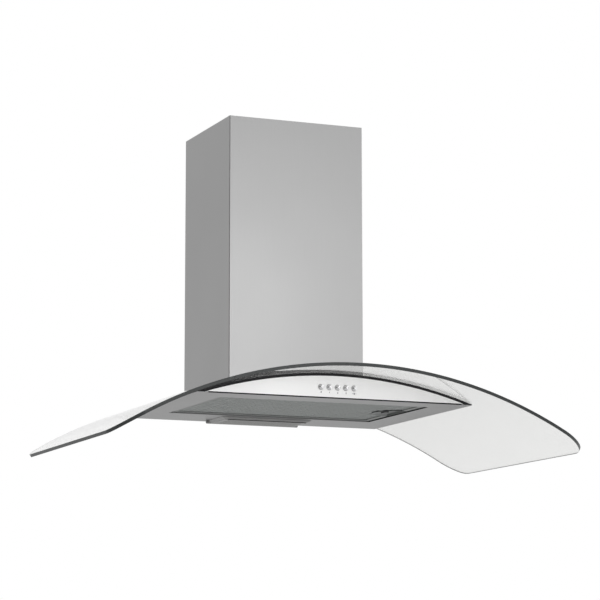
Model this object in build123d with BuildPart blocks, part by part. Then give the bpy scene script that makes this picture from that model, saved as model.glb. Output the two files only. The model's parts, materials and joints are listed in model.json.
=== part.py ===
"""Wall-mounted chimney hood with an arched glass canopy.

Millimetres, +Z up.  The origin is on the wall, in the middle of the hood, level with its underside.
+X is to the right of a person facing the hood, -Y points from the wall into the room.
"""
from build123d import *
from math import asin, cos, radians, sin, sqrt
import os

os.makedirs("parts", exist_ok=True)

# ---------------------------------------------------------------- driving dimensions

# Arch shared by the glass, the seals and the top of the body
arch_radius = 828.0         # underside of the glass
glass_edge_gap = 0.55       # underside of the glass above the pan at the body's sides
seal_thick = 5.0            # gap that the seals keep between body and glass

# Glass canopy
glass_width = 900.0
glass_depth = 529.0
glass_wall_gap = 1.0
glass_thick = 6.0
glass_front_corner = 52.0
glass_rear_corner = 45.0
glass_notch_gap = 4.0       # round the blower box
glass_hole_r = 5.0
glass_bolt_x = 152.0
glass_bolt_front_y = -272.0
glass_bolt_rear_y = -70.0

# Glass fixings: domed bolt, soft sleeve through the glass, nut under the body
fixing_r = 9.0
bolt_shank_r = 3.0
bolt_head_height = 2.6
bolt_head_taper = 35.0      # degrees
sleeve_flange = 0.8
glass_nut_flats = 10.0
nut_thick = 5.0
nut_seat_gap = 0.05         # flat nut under the arched sheet

# Body
body_width = 530.0
body_depth = 426.0          # wall to the front of the fascia
body_sheet = 1.2
fascia_sheet = 1.2
fascia_standoff = 4.0       # fascia back to the body's front wall
fascia_lift = 2.4           # bottom edge of the fascia above the underside
fascia_stud_r = 2.0
fascia_collar_r = 4.0
fascia_stud_insets = (150.0, 69.0)      # from the body's side
fascia_stud_length = 6.2    # behind the body's front wall's face
fascia_nut_flats = 7.0
fascia_nut_thick = 3.2
stud_hole_gap = 0.2
seal_width = 14.0
back_screw_x = 150.0
back_screw_drop = 9.5       # below the arched top
back_screw_hole_r = 2.5

# Grease filter
filter_side_margin = 61.0   # body's side to the opening
filter_front_margin = 55.0  # fascia to the opening
filter_rear_margin = 109.0  # wall to the opening
filter_thick = 8.5
filter_recess = 2.0         # filter's face above the hood's underside
filter_gap = 2.0            # round the filter in its opening
filter_wall = 1.0
filter_rim = 11.0           # width of the frame's flanges
filter_lip = 10.0           # upturned edge of the opening
filter_pin_r = 2.0
filter_pin_inset = 6.0      # pivot to the frame's left edge
filter_pin_reach = 4.5
pivot_gap = 0.1
mesh_sheet = 0.6
mesh_gap = 0.1
mesh_hole = 11.0            # across a diamond opening
core_layers = 2
core_sheet = 0.8
mesh_pitch = 17.3           # between diamonds, or a little more

# Filter latch
cup_radius = 47.0
cup_depth = 3.2
cup_slope = 10.0
cup_sheet = 0.8
latch_travel = 4.5
latch_reach = 0.5           # bolt end inside the frame's edge at rest
bolt_width = 16.0
bolt_length = 41.0
bolt_thick = 2.0
knob_length = 24.0
knob_width = 8.0
knob_inset = 25.0           # middle of the knob to the frame's edge
neck_width = 4.0
neck_length = 12.0
guide_sheet = 0.8
slide_gap = 0.3

# Lamp compartment
lamp_cover_width = 184.0
lamp_cover_depth = 80.0
lamp_cover_drop = 5.5
lamp_cover_bevel = 7.0
lamp_cover_wall = 1.6
lamp_centre_y = -52.0
lamp_lap = 8.0              # cover past the edges of its opening
lamp_gap = 0.3
lamp_pin_r = 1.2
lamp_pin_reach = 2.6
lamp_ear_width = 1.4
lamp_ear_radius = 2.6
lamp_ear_drop = 3.0         # pivot below the underside
tray_height = 28.0
tray_sheet = 0.8
tray_flange = 8.0
holder_r = 12.0
holder_length = 27.0
socket_r = 7.2
socket_depth = 20.0
bulb_r = 11.0
bulb_length = 50.0
bulb_round = 3.6
bulb_cap_r = 7.0
bulb_cap_length = 22.0
lamp_axis_z = 15.0

# Push buttons
button_count = 5
button_pitch = 16.0
button_r = 5.0
button_drop = 20.3          # below the middle of the arched top
button_height = 4.6         # dome in front of the fascia
button_edge = 1.4           # foot of the dome in front of the fascia
button_skirt = 4.5          # skirt behind the fascia's front
button_travel = 3.0
button_hole_gap = 0.4
stem_r = 2.5
stem_gap = 0.1
spring_room = 8.0
spring_wire_r = 0.3
spring_r = 3.6
spring_turns = 5
spring_seat_gap = 0.15
snap_r = 3.8
snap_thick = 1.2
switch_wall = 2.0
switch_depth = 20.0
switch_height = 24.0
switch_end = 17.0           # housing past the last button
post_r = 4.5
post_inset = 6.0
board_sheet = 1.6
stem_end_room = 2.0
switch_screw_head_r = 3.6
switch_screw_head = 1.8

# Chimney
chimney_width = 268.0
chimney_depth = 238.0
chimney_top = 544.0
chimney_sheet = 1.0
chimney_return = 18.0
chimney_glass_gap = 0.2
angle_low = 62.0
angle_height = 24.0
angle_sheet = 1.2
angle_length = 44.0
upper_gap = 0.5             # between the two chimney sections
upper_bottom = 120.0
upper_top_step = 1.0
vent_count = 6
vent_length = 70.0
vent_width = 5.0
vent_pitch = 11.0
vent_drop = 22.0            # top of the section to the first vent
bracket_sheet = 1.6
bracket_height = 30.0
bracket_drop = 38.0         # top of the section to the bracket's lower edge
bracket_screw_x = 80.0
bracket_hole_r = 2.75
bracket_web_gap = 5.0

# Blower
box_side_gap = 13.5         # to the upper chimney section, at the sides and the front
box_wall_gap = 12.0         # rear of the box to the wall
box_top = 318.0
box_sheet = 1.0
box_flange = 12.0
box_screw_x = 70.0
screw_r = 2.0
screw_gap = 0.1
screw_head_r = 3.8
screw_head = 2.4
screw_length = 6.0
inlet_gap = 41.0            # scroll's side to the box's side
scroll_wall = 2.0
scroll_front_gap = 5.0
scroll_rear_gap = 13.0
scroll_axis_z = 150.0
scroll_step = 6.0           # each later quarter is smaller by this
scroll_top_gap = 0.2
inlet_lap = 1.0             # inlet inside the wheel's inner edge
lug_width = 18.0
lug_reach = 12.0
lug_thick = 3.0
lug_from_outlet = 48.0
wheel_gap = 9.0             # wheel to the scroll's nearest walls
blade_depth = 13.0
wheel_ring = 2.0
wheel_disc = 3.0
blade_count = 32
blade_thick = 1.2
blade_edge_gap = 2.4        # blades to the rings' edges, both together
blade_angle = 35.0          # degrees
hub_r = 13.0
hub_left = 14.0
hub_right = 11.0
shaft_r = 4.0
shaft_left = 24.0
shaft_gap = 0.06
motor_r = 42.0
motor_hub_gap = 6.0
motor_step_r = 30.0
motor_step = 8.0
motor_round = 2.6
spider_sheet = 2.0
spider_disc_r = 38.0
spider_arm = 12.0
spider_ring = 11.0
spider_arms = 3
nut_flats = 13.0
nut_height = 6.0

# Capacitor, terminal box and cord grommet
capacitor_r = 15.0
capacitor_height = 58.0
capacitor_round = 1.2
capacitor_low = 62.0
capacitor_gap = 4.0         # capacitor to the box's side
capacitor_rear_gap = 12.0
clip_sheet = 1.2
clip_height = 12.0
clip_tab = 15.0
terminal_thick = 30.0
terminal_width = 56.0
terminal_height = 80.0
terminal_low = 62.0
terminal_wall = 2.0
terminal_rear_gap = 6.0
lid_sheet = 2.0
grommet_side_gap = 20.0     # middle of the grommet to the box's side
grommet_rear_gap = 28.0     # and to the box's rear
grommet_bore_r = 4.5
grommet_neck_r = 7.0
grommet_flange_r = 9.5
grommet_flange = 2.0

# Outlet collar and its two non-return flaps
collar_r = 74.5
collar_wall = 1.6
collar_height = 50.0
collar_flange_r = 84.0
collar_flange = 2.0
collar_front_gap = 1.0      # flange to the box's front
collar_screw_r = 79.5
flap_axis_rise = 20.0       # flap pin above the box's top
flap_edge_gap = 1.4
flap_sheet = 1.2
flap_pin_r = 1.5
knuckle_r = 3.2
knuckle_length = 28.0
knuckle_play = 0.4
knuckle_gap = 0.08
flap_stop_width = 12.0
flap_stop_reach = 5.0
flap_stop_thick = 2.0
flap_stop_gap = 0.3

# Wall bracket that the blower box hangs on
hanger_width = 200.0
hanger_height = 44.0
hanger_sheet = 2.0
hanger_low = 226.0
hook_x = 55.0
hook_width = 16.0
hook_sheet = 1.6
hook_rise = 12.0
hook_slot_gap = 1.0
hook_level = 22.0           # underside of the hooks above the bracket's lower edge
hanger_screw_x = 85.0
hanger_hole_r = 3.0

# Wiring between switches and terminal box
loom_r = 3.0
loom_bend = 12.0
loom_height = 26.5          # over the pan's underside

# ---------------------------------------------------------------- shared values

body_half = body_width / 2
arch_rise = arch_radius - sqrt(arch_radius**2 - body_half**2)
arch_height = body_sheet + glass_edge_gap + arch_rise   # underside of the glass at mid-width
arch_axis_z = arch_height - arch_radius
plate_radius = arch_radius - seal_thick         # top of the body
glass_top_radius = arch_radius + glass_thick
body_back_length = body_depth - fascia_sheet    # wall to the back of the fascia
front_wall_y = -(body_back_length - fascia_standoff)
pan_top = body_sheet

opening_length = body_width - 2 * filter_side_margin
opening_depth = body_depth - filter_front_margin - filter_rear_margin
filter_length = opening_length - 2 * filter_gap
filter_depth = opening_depth - 2 * filter_gap
filter_centre_y = -(filter_rear_margin + opening_depth / 2)
filter_low = filter_recess
filter_high = filter_recess + filter_thick
filter_mid_z = filter_recess + filter_thick / 2
filter_left_x = -filter_length / 2
filter_right_x = filter_length / 2
filter_pin_x = filter_left_x + filter_pin_inset

upper_inset = chimney_sheet + upper_gap         # upper chimney section inside the lower one
box_inset = upper_inset + chimney_sheet + box_side_gap
box_width = chimney_width - 2 * box_inset
box_depth = chimney_depth - box_inset - box_wall_gap
box_front_y = -(box_wall_gap + box_depth)
box_centre_y = -(box_wall_gap + box_depth / 2)
box_half = box_width / 2
box_inner_half = box_half - box_sheet
air_length = box_width - 2 * box_sheet - 2 * box_flange
air_depth = box_depth - 2 * box_sheet - 2 * box_flange

scroll_width = box_width - 2 * inlet_gap
scroll_room = box_depth - 2 * box_sheet - scroll_front_gap - scroll_rear_gap
scroll_radius = (scroll_room + scroll_step) / 2     # widest quarter, at the front
scroll_axis_y = box_front_y + box_sheet + scroll_front_gap + scroll_radius
wheel_r = scroll_radius - 2 * scroll_step - scroll_wall - wheel_gap
wheel_inner_r = wheel_r - blade_depth
wheel_width = scroll_width - 2 * wheel_gap
inlet_r = wheel_inner_r - inlet_lap
collar_y = box_front_y + collar_front_gap + collar_flange_r
button_z = arch_height - seal_thick - button_drop

button_xs = [(i - (button_count - 1) / 2) * button_pitch for i in range(button_count)]


def arch_z(radius, x):
    """Height of an arch of this radius at x."""
    return arch_axis_z + sqrt(radius**2 - x**2)


def arch_plane(x, y, radius):
    """Plane square to the arch at x and y, with its origin at this radius."""
    angle = asin(x / arch_radius)
    normal = (sin(angle), 0, cos(angle))
    return Plane(
        origin=(radius * sin(angle), y, arch_axis_z + radius * cos(angle)),
        x_dir=(cos(angle), 0, -sin(angle)),
        z_dir=normal,
    )


def save(piece, name):
    """Label the finished piece and write it."""
    piece.part.label = name
    export_step(piece.part, f"parts/{name}.step")


glass_bolt_places = [
    (side * glass_bolt_x, y)
    for side in (-1, 1)
    for y in (glass_bolt_front_y, glass_bolt_rear_y)
]
box_screw_places = [
    (side * box_screw_x, y)
    for side in (-1, 1)
    for y in (
        box_front_y + box_sheet + box_flange / 2,
        -(box_wall_gap + box_sheet + box_flange / 2),
    )
]
fascia_stud_places = [
    (
        side * (body_half - inset),
        (fascia_lift + arch_z(plate_radius, body_half - inset)) / 2,
    )
    for side in (-1, 1)
    for inset in fascia_stud_insets
]
back_screw_z = arch_z(plate_radius, back_screw_x) - back_screw_drop

# ---------------------------------------------------------------- glass canopy

with BuildPart() as glass_canopy:
    # arched sheet, larger all round than the outline that it is then cut to
    with BuildSketch(Plane.XZ):
        with Locations((0, arch_axis_z)):
            Circle(glass_top_radius)
            Circle(arch_radius, mode=Mode.SUBTRACT)
        with Locations((0, arch_height)):
            Rectangle(glass_width + 2 * glass_thick, glass_width, mode=Mode.INTERSECT)
    extrude(amount=glass_wall_gap + glass_depth + glass_thick)
    with BuildSketch(Plane.XY.offset(-arch_radius / 2)) as glass_plan:
        with Locations((0, -(glass_wall_gap + glass_depth / 2))):
            Rectangle(glass_width, glass_depth)
        fillet(glass_plan.vertices().group_by(Axis.Y)[0], radius=glass_front_corner)
        fillet(glass_plan.vertices().group_by(Axis.Y)[-1], radius=glass_rear_corner)
    extrude(amount=arch_radius, mode=Mode.INTERSECT)
    with BuildSketch(Plane.XY.offset(-arch_height)):
        with Locations((0, (box_front_y - glass_notch_gap) / 2)):
            Rectangle(box_width + 2 * glass_notch_gap, -(box_front_y - glass_notch_gap))
    extrude(amount=3 * arch_height, mode=Mode.SUBTRACT)
    with BuildSketch(*[arch_plane(x, y, arch_radius) for x, y in glass_bolt_places]):
        Circle(glass_hole_r)
    extrude(amount=2 * glass_thick, both=True, mode=Mode.SUBTRACT)
save(glass_canopy, "glass_canopy")

# ---------------------------------------------------------------- seals between body and glass


def seal_strip(front_y, width):
    """Arched strip from front_y towards the wall, its ends cut level with the pan."""
    with BuildPart() as strip:
        with BuildSketch(Plane.XZ.offset(-front_y - width)):
            with Locations((0, arch_axis_z)):
                Circle(arch_radius)
                Circle(plate_radius, mode=Mode.SUBTRACT)
            with Locations((0, pan_top + arch_height)):
                Rectangle(body_width, 2 * arch_height, mode=Mode.INTERSECT)
        extrude(amount=width)
    return strip


glass_seal_front = seal_strip(-body_depth, seal_width)
save(glass_seal_front, "glass_seal_front")

rear_seal_width = box_wall_gap - glass_wall_gap
glass_seal_rear = seal_strip(-box_wall_gap, rear_seal_width)
save(glass_seal_rear, "glass_seal_rear")

# ---------------------------------------------------------------- glass fixings

with BuildPart() as glass_bolts:
    seat_radius = glass_top_radius + sleeve_flange
    with BuildSketch(*[arch_plane(x, y, seat_radius) for x, y in glass_bolt_places]):
        Circle(fixing_r)
    extrude(amount=bolt_head_height, taper=bolt_head_taper)
    with BuildSketch(*[arch_plane(x, y, seat_radius) for x, y in glass_bolt_places]):
        Circle(bolt_shank_r)
    extrude(amount=-(seat_radius - plate_radius + body_sheet + nut_thick))
save(glass_bolts, "glass_bolts")

with BuildPart() as glass_sleeves:
    sleeve_planes = [arch_plane(x, y, plate_radius) for x, y in glass_bolt_places]
    with BuildSketch(*sleeve_planes):
        Circle(fixing_r)
    extrude(amount=seal_thick)
    with BuildSketch(*sleeve_planes):
        Circle(glass_hole_r - screw_gap)
    extrude(amount=seal_thick + glass_thick)
    with BuildSketch(*[arch_plane(x, y, glass_top_radius) for x, y in glass_bolt_places]):
        Circle(fixing_r)
    extrude(amount=sleeve_flange)
    with BuildSketch(*sleeve_planes):
        Circle(bolt_shank_r + screw_gap)
    extrude(amount=seal_thick + glass_thick + sleeve_flange, mode=Mode.SUBTRACT)
    # the undersides follow the body and the undersides of the flanges follow the glass
    with BuildSketch(Plane.XZ):
        with Locations((0, arch_axis_z)):
            Circle(plate_radius)
    extrude(amount=body_depth, mode=Mode.SUBTRACT)
    add(glass_canopy.part, mode=Mode.SUBTRACT)
save(glass_sleeves, "glass_sleeves")

with BuildPart() as glass_nuts:
    with BuildSketch(
        *[
            arch_plane(x, y, plate_radius - body_sheet - nut_seat_gap)
            for x, y in glass_bolt_places
        ]
    ):
        RegularPolygon(glass_nut_flats / 2, 6, major_radius=False)
        Circle(bolt_shank_r, mode=Mode.SUBTRACT)
    extrude(amount=-nut_thick)
save(glass_nuts, "glass_nuts")

# ---------------------------------------------------------------- hood body

lamp_rear_y = lamp_centre_y + lamp_cover_depth / 2
lamp_front_y = lamp_centre_y - lamp_cover_depth / 2
lamp_pivot_y = lamp_rear_y - lamp_ear_radius
lamp_pivot_z = -lamp_ear_drop
ear_x = lamp_cover_width / 2 + slide_gap + lamp_ear_width / 2

with BuildPart() as body_hollow:
    with BuildSketch(Plane.XZ.offset(body_sheet)):
        with Locations((0, arch_axis_z)):
            Circle(plate_radius - body_sheet)
        with Locations((0, pan_top + arch_height)):
            Rectangle(body_width, 2 * arch_height, mode=Mode.INTERSECT)
    extrude(amount=-front_wall_y - 2 * body_sheet)

with BuildPart() as hood_body:
    # arched shell, closed at the rear and by a front wall set back behind the fascia
    with BuildSketch(Plane.XZ):
        with Locations((0, arch_axis_z)):
            Circle(plate_radius)
        with Locations((0, arch_height)):
            Rectangle(body_width, 2 * arch_height, mode=Mode.INTERSECT)
    extrude(amount=body_back_length)
    with BuildSketch(Plane.XY):
        with Locations((0, -body_back_length / 2)):
            Rectangle(body_width, body_back_length)
    extrude(amount=body_sheet)
    add(body_hollow.part, mode=Mode.SUBTRACT)
    # the space in front of the front wall, between the pan and the arched top
    with BuildSketch(Plane.XZ.offset(-front_wall_y)):
        with Locations((0, arch_axis_z)):
            Circle(plate_radius - body_sheet)
        with Locations((0, pan_top + arch_height)):
            Rectangle(body_width, 2 * arch_height, mode=Mode.INTERSECT)
    extrude(amount=fascia_standoff, mode=Mode.SUBTRACT)
    # filter opening with its upturned lip
    with BuildSketch(Plane.XY.offset(pan_top)):
        with Locations((0, filter_centre_y)):
            Rectangle(opening_length + 2 * body_sheet, opening_depth + 2 * body_sheet)
    extrude(amount=filter_lip)
    with BuildSketch(Plane.XY):
        with Locations((0, filter_centre_y)):
            Rectangle(opening_length, opening_depth)
    extrude(amount=pan_top + filter_lip, mode=Mode.SUBTRACT)
    # open hooks in the lip for the filter's two pivot pins
    with BuildSketch(Plane.XZ.offset(-filter_centre_y - opening_depth / 2 - 2 * body_sheet)):
        with Locations((filter_pin_x, filter_mid_z)):
            Circle(filter_pin_r + pivot_gap)
        with Locations((filter_pin_x, filter_mid_z + filter_lip / 2)):
            Rectangle(2 * (filter_pin_r + pivot_gap), filter_lip)
    extrude(amount=opening_depth + 4 * body_sheet, mode=Mode.SUBTRACT)
    # keeper slot for the latch bolt
    keeper_z = filter_recess + cup_depth + cup_sheet + slide_gap + bolt_thick / 2
    with BuildSketch(Plane.YZ.offset(opening_length / 2 - body_sheet)):
        with Locations((filter_centre_y, keeper_z)):
            Rectangle(bolt_width + 2 * body_sheet, bolt_thick + 2 * slide_gap)
    extrude(amount=3 * body_sheet, mode=Mode.SUBTRACT)
    # lamp opening
    with BuildSketch(Plane.XY):
        with Locations((0, lamp_centre_y)):
            Rectangle(lamp_cover_width - 2 * lamp_lap, lamp_cover_depth - 2 * lamp_lap)
    extrude(amount=pan_top, mode=Mode.SUBTRACT)
    # ears under the pan for the lamp cover's pivots
    with BuildSketch(
        *[Plane.YZ.offset(side * ear_x - lamp_ear_width / 2) for side in (-1, 1)]
    ):
        with Locations((lamp_pivot_y, lamp_pivot_z)):
            Circle(lamp_ear_radius)
        with Locations((lamp_pivot_y, lamp_pivot_z / 2)):
            Rectangle(2 * lamp_ear_radius, lamp_ear_drop)
        with Locations((lamp_pivot_y, lamp_pivot_z)):
            Circle(lamp_pin_r + pivot_gap, mode=Mode.SUBTRACT)
    extrude(amount=lamp_ear_width)
    # air opening into the blower box
    with BuildSketch(Plane.XY.offset(pan_top + filter_lip)):
        with Locations((0, box_centre_y)):
            Rectangle(air_length, air_depth)
    extrude(amount=arch_height, mode=Mode.SUBTRACT)
    # holes: glass bolts, blower box screws, fascia studs, switch screws, buttons, back screws
    with BuildSketch(*[arch_plane(x, y, plate_radius) for x, y in glass_bolt_places]):
        Circle(bolt_shank_r + screw_gap)
    extrude(amount=2 * body_sheet, both=True, mode=Mode.SUBTRACT)
    with BuildSketch(*[arch_plane(x, y, plate_radius) for x, y in box_screw_places]):
        Circle(screw_r + screw_gap)
    extrude(amount=2 * body_sheet, both=True, mode=Mode.SUBTRACT)
    with BuildSketch(Plane.XZ.offset(-front_wall_y - 2 * body_sheet)):
        with Locations(*fascia_stud_places):
            Circle(fascia_stud_r + stud_hole_gap)
        with Locations(*[(x, button_z) for x in button_xs]):
            Circle(button_r + button_hole_gap)
        post_x = button_xs[-1] + switch_end - post_inset
        with Locations((-post_x, button_z), (post_x, button_z)):
            Circle(screw_r + screw_gap)
    extrude(amount=3 * body_sheet, mode=Mode.SUBTRACT)
    with BuildSketch(Plane.XZ):
        with Locations((-back_screw_x, back_screw_z), (back_screw_x, back_screw_z)):
            Circle(back_screw_hole_r)
    extrude(amount=2 * body_sheet, mode=Mode.SUBTRACT)
save(hood_body, "hood_body")

# ---------------------------------------------------------------- fascia

with BuildPart() as fascia:
    with BuildSketch(Plane.XZ.offset(body_back_length)):
        with Locations((0, arch_axis_z)):
            Circle(plate_radius)
        with Locations((0, fascia_lift + arch_height)):
            Rectangle(body_width, 2 * arch_height, mode=Mode.INTERSECT)
        with Locations(*[(x, button_z) for x in button_xs]):
            Circle(button_r + button_hole_gap, mode=Mode.SUBTRACT)
    extrude(amount=fascia_sheet)
    with BuildSketch(Plane.XZ.offset(-front_wall_y)):
        with Locations(*fascia_stud_places):
            Circle(fascia_collar_r)
    extrude(amount=fascia_standoff)
    with BuildSketch(Plane.XZ.offset(-front_wall_y - fascia_stud_length)):
        with Locations(*fascia_stud_places):
            Circle(fascia_stud_r)
    extrude(amount=fascia_stud_length)
save(fascia, "fascia")

with BuildPart() as fascia_nuts:
    with BuildSketch(Plane.XZ.offset(-front_wall_y - body_sheet - fascia_nut_thick)):
        with Locations(*fascia_stud_places):
            RegularPolygon(fascia_nut_flats / 2, 6, major_radius=False)
            Circle(fascia_stud_r, mode=Mode.SUBTRACT)
    extrude(amount=fascia_nut_thick)
save(fascia_nuts, "fascia_nuts")

# ---------------------------------------------------------------- push buttons and their switches

skirt_y = -(body_depth - button_skirt)              # back of a button's skirt
housing_front_y = skirt_y + spring_room
housing_half = button_xs[-1] + switch_end
housing_rear_y = housing_front_y + switch_depth
board_front_y = housing_rear_y - board_sheet
snap_front_y = housing_front_y + switch_wall + slide_gap
stem_end_y = board_front_y - button_travel - stem_end_room

for number, x in enumerate(button_xs, start=1):
    with BuildPart() as button:
        with BuildSketch(Plane.XY.offset(button_z)) as outline:
            with BuildLine():
                dome = TangentArc(
                    (x, -(body_depth + button_height)),
                    (x + button_r, -(body_depth + button_edge)),
                    tangent=(1, 0),
                )
                Polyline(
                    dome @ 1,
                    (x + button_r, skirt_y),
                    (x + stem_r, skirt_y),
                    (x + stem_r, snap_front_y),
                    (x + snap_r, snap_front_y),
                    (x + stem_r, snap_front_y + snap_thick),
                    (x + stem_r, stem_end_y),
                    (x, stem_end_y),
                    dome @ 0,
                )
            make_face()
        revolve(axis=Axis((x, 0, button_z), (0, 1, 0)))
    save(button, f"button_{number}")

    coil_length = spring_room - 2 * (spring_seat_gap + spring_wire_r)
    coil_start = (x, skirt_y + spring_seat_gap + spring_wire_r, button_z)
    with BuildPart() as spring:
        with BuildLine() as coil:
            Helix(
                coil_length / spring_turns,
                coil_length,
                spring_r,
                center=coil_start,
                direction=(0, 1, 0),
            )
        with BuildSketch(Plane(origin=coil.line @ 0, z_dir=coil.line % 0)):
            Circle(spring_wire_r)
        sweep(is_frenet=True)
    save(spring, f"button_spring_{number}")

print("button spring, gap between turns:", coil_length / spring_turns - 2 * spring_wire_r)

with BuildPart() as switch_housing:
    with BuildSketch(Plane.XZ.offset(-housing_rear_y)):
        with Locations((0, button_z)):
            Rectangle(2 * housing_half, switch_height)
    extrude(amount=switch_depth)
    with BuildSketch(Plane.XZ.offset(-housing_rear_y)):
        with Locations((0, button_z)):
            Rectangle(2 * (housing_half - switch_wall), switch_height - 2 * switch_wall)
    extrude(amount=switch_depth - switch_wall, mode=Mode.SUBTRACT)
    post_length = housing_front_y - (front_wall_y + body_sheet)
    with BuildSketch(Plane.XZ.offset(-housing_front_y - switch_wall)):
        with Locations((-post_x, button_z), (post_x, button_z)):
            Circle(post_r)
    extrude(amount=post_length + switch_wall)
    with BuildSketch(Plane.XZ.offset(-housing_front_y - switch_wall)):
        with Locations((-post_x, button_z), (post_x, button_z)):
            Circle(screw_r)
    extrude(amount=post_length + switch_wall, mode=Mode.SUBTRACT)
    with BuildSketch(Plane.XZ.offset(-housing_front_y - switch_wall)):
        with Locations(*[(x, button_z) for x in button_xs]):
            Circle(stem_r + stem_gap)
    extrude(amount=switch_wall, mode=Mode.SUBTRACT)
save(switch_housing, "switch_housing")

with BuildPart() as switch_board:
    with BuildSketch(Plane.XZ.offset(-housing_rear_y)):
        with Locations((0, button_z)):
            Rectangle(2 * (housing_half - switch_wall), switch_height - 2 * switch_wall)
    extrude(amount=board_sheet)
save(switch_board, "switch_board")

with BuildPart() as switch_screws:
    with BuildSketch(Plane.XZ.offset(-front_wall_y)):
        with Locations((-post_x, button_z), (post_x, button_z)):
            Circle(switch_screw_head_r)
    extrude(amount=switch_screw_head)
    with BuildSketch(Plane.XZ.offset(-front_wall_y)):
        with Locations((-post_x, button_z), (post_x, button_z)):
            Circle(screw_r)
    extrude(amount=-(body_sheet + post_length))
save(switch_screws, "switch_screws")

# ---------------------------------------------------------------- grease filter

filter_edge_x = filter_right_x - filter_wall        # inner face of the frame's outer wall
knob_x = filter_right_x - knob_inset
bolt_low = filter_low + cup_depth + cup_sheet + slide_gap
bolt_high = bolt_low + bolt_thick
guide_high = bolt_high + slide_gap + guide_sheet
cup_axis = Axis((filter_edge_x, filter_centre_y, 0), (0, 0, 1))
cup_cut_r = cup_radius + mesh_gap
window_length = filter_length - 2 * filter_rim
window_depth = filter_depth - 2 * filter_rim

with BuildPart() as filter_frame:
    with BuildSketch(Plane.XY.offset(filter_low)):
        with Locations((0, filter_centre_y)):
            Rectangle(filter_length, filter_depth)
            Rectangle(window_length, window_depth, mode=Mode.SUBTRACT)
    extrude(amount=filter_thick)
    # channel that holds the mesh
    with BuildSketch(Plane.XY.offset(filter_low + filter_wall)):
        with Locations((0, filter_centre_y)):
            Rectangle(filter_length - 2 * filter_wall, filter_depth - 2 * filter_wall)
    extrude(amount=filter_thick - 2 * filter_wall, mode=Mode.SUBTRACT)
    # finger cup and bolt slot
    with BuildSketch(Plane.XY.offset(filter_low)):
        with Locations((filter_edge_x, filter_centre_y)):
            Circle(cup_cut_r)
        with Locations((filter_edge_x + cup_cut_r / 2, filter_centre_y)):
            Rectangle(cup_cut_r, 2 * cup_cut_r, mode=Mode.SUBTRACT)
    extrude(amount=filter_thick - filter_wall, mode=Mode.SUBTRACT)
    with BuildSketch(Plane.YZ.offset(filter_edge_x - filter_wall)):
        with Locations((filter_centre_y, (bolt_low + bolt_high) / 2)):
            Rectangle(bolt_width + 2 * slide_gap, bolt_thick + 2 * slide_gap)
    extrude(amount=3 * filter_wall, mode=Mode.SUBTRACT)
    # pivot pins at the left, front and rear
    with BuildSketch(Plane.XZ.offset(-filter_centre_y + filter_depth / 2 - filter_wall)):
        with Locations((filter_pin_x, filter_mid_z)):
            Circle(filter_pin_r)
    extrude(amount=filter_wall + filter_pin_reach)
    with BuildSketch(Plane.XZ.offset(-filter_centre_y - filter_depth / 2 + filter_wall)):
        with Locations((filter_pin_x, filter_mid_z)):
            Circle(filter_pin_r)
    extrude(amount=-(filter_wall + filter_pin_reach))
save(filter_frame, "filter_frame")


def mesh_stack(levels, thickness):
    """Holed sheets that fill the frame's channel, cut away round the finger cup."""
    columns = int(window_length // mesh_pitch)
    rows = int(window_depth // mesh_pitch)
    with BuildPart() as stack:
        with BuildSketch(*[Plane.XY.offset(level) for level in levels]):
            with Locations((0, filter_centre_y)):
                Rectangle(
                    filter_length - 2 * (filter_wall + mesh_gap),
                    filter_depth - 2 * (filter_wall + mesh_gap),
                )
                with GridLocations(
                    window_length / columns, window_depth / rows, columns, rows
                ):
                    Rectangle(mesh_hole, mesh_hole, rotation=45, mode=Mode.SUBTRACT)
            with Locations((filter_edge_x, filter_centre_y)):
                Circle(cup_cut_r, mode=Mode.SUBTRACT)
        extrude(amount=thickness)
    return stack


lower_mesh_z = filter_low + filter_wall + mesh_gap
upper_mesh_z = filter_high - filter_wall - mesh_gap - mesh_sheet
core_pitch = (upper_mesh_z - lower_mesh_z) / (core_layers + 1)
core_levels = [
    lower_mesh_z + mesh_sheet / 2 + core_pitch * (layer + 1) - core_sheet / 2
    for layer in range(core_layers)
]
filter_mesh_lower = mesh_stack([lower_mesh_z], mesh_sheet)
save(filter_mesh_lower, "filter_mesh_lower")
filter_core = mesh_stack(core_levels, core_sheet)
save(filter_core, "filter_core")
filter_mesh_upper = mesh_stack([upper_mesh_z], mesh_sheet)
save(filter_mesh_upper, "filter_mesh_upper")

with BuildPart() as filter_cup:
    floor_z = filter_low + cup_depth
    with BuildSketch(Plane.XZ.offset(-filter_centre_y)):
        with BuildLine():
            Polyline(
                (filter_edge_x, floor_z),
                (filter_edge_x - cup_radius + 2 * cup_sheet + cup_slope, floor_z),
                (filter_edge_x - cup_radius + 2 * cup_sheet, filter_low),
                (filter_edge_x - cup_radius, filter_low),
                (filter_edge_x - cup_radius, filter_low + cup_sheet),
                (filter_edge_x - cup_radius + cup_sheet, filter_low + cup_sheet),
                (filter_edge_x - cup_radius + cup_sheet + cup_slope, floor_z + cup_sheet),
                (filter_edge_x, floor_z + cup_sheet),
                close=True,
            )
        make_face()
    revolve(axis=cup_axis)
    split(bisect_by=Plane.YZ.offset(filter_edge_x), keep=Keep.BOTTOM)
    with BuildSketch(Plane.XY.offset(floor_z)):
        with Locations((knob_x + latch_travel / 2, filter_centre_y)):
            Rectangle(neck_width + latch_travel + 2 * slide_gap, neck_length + 2 * slide_gap)
    extrude(amount=cup_sheet, mode=Mode.SUBTRACT)
save(filter_cup, "filter_cup")

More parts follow.
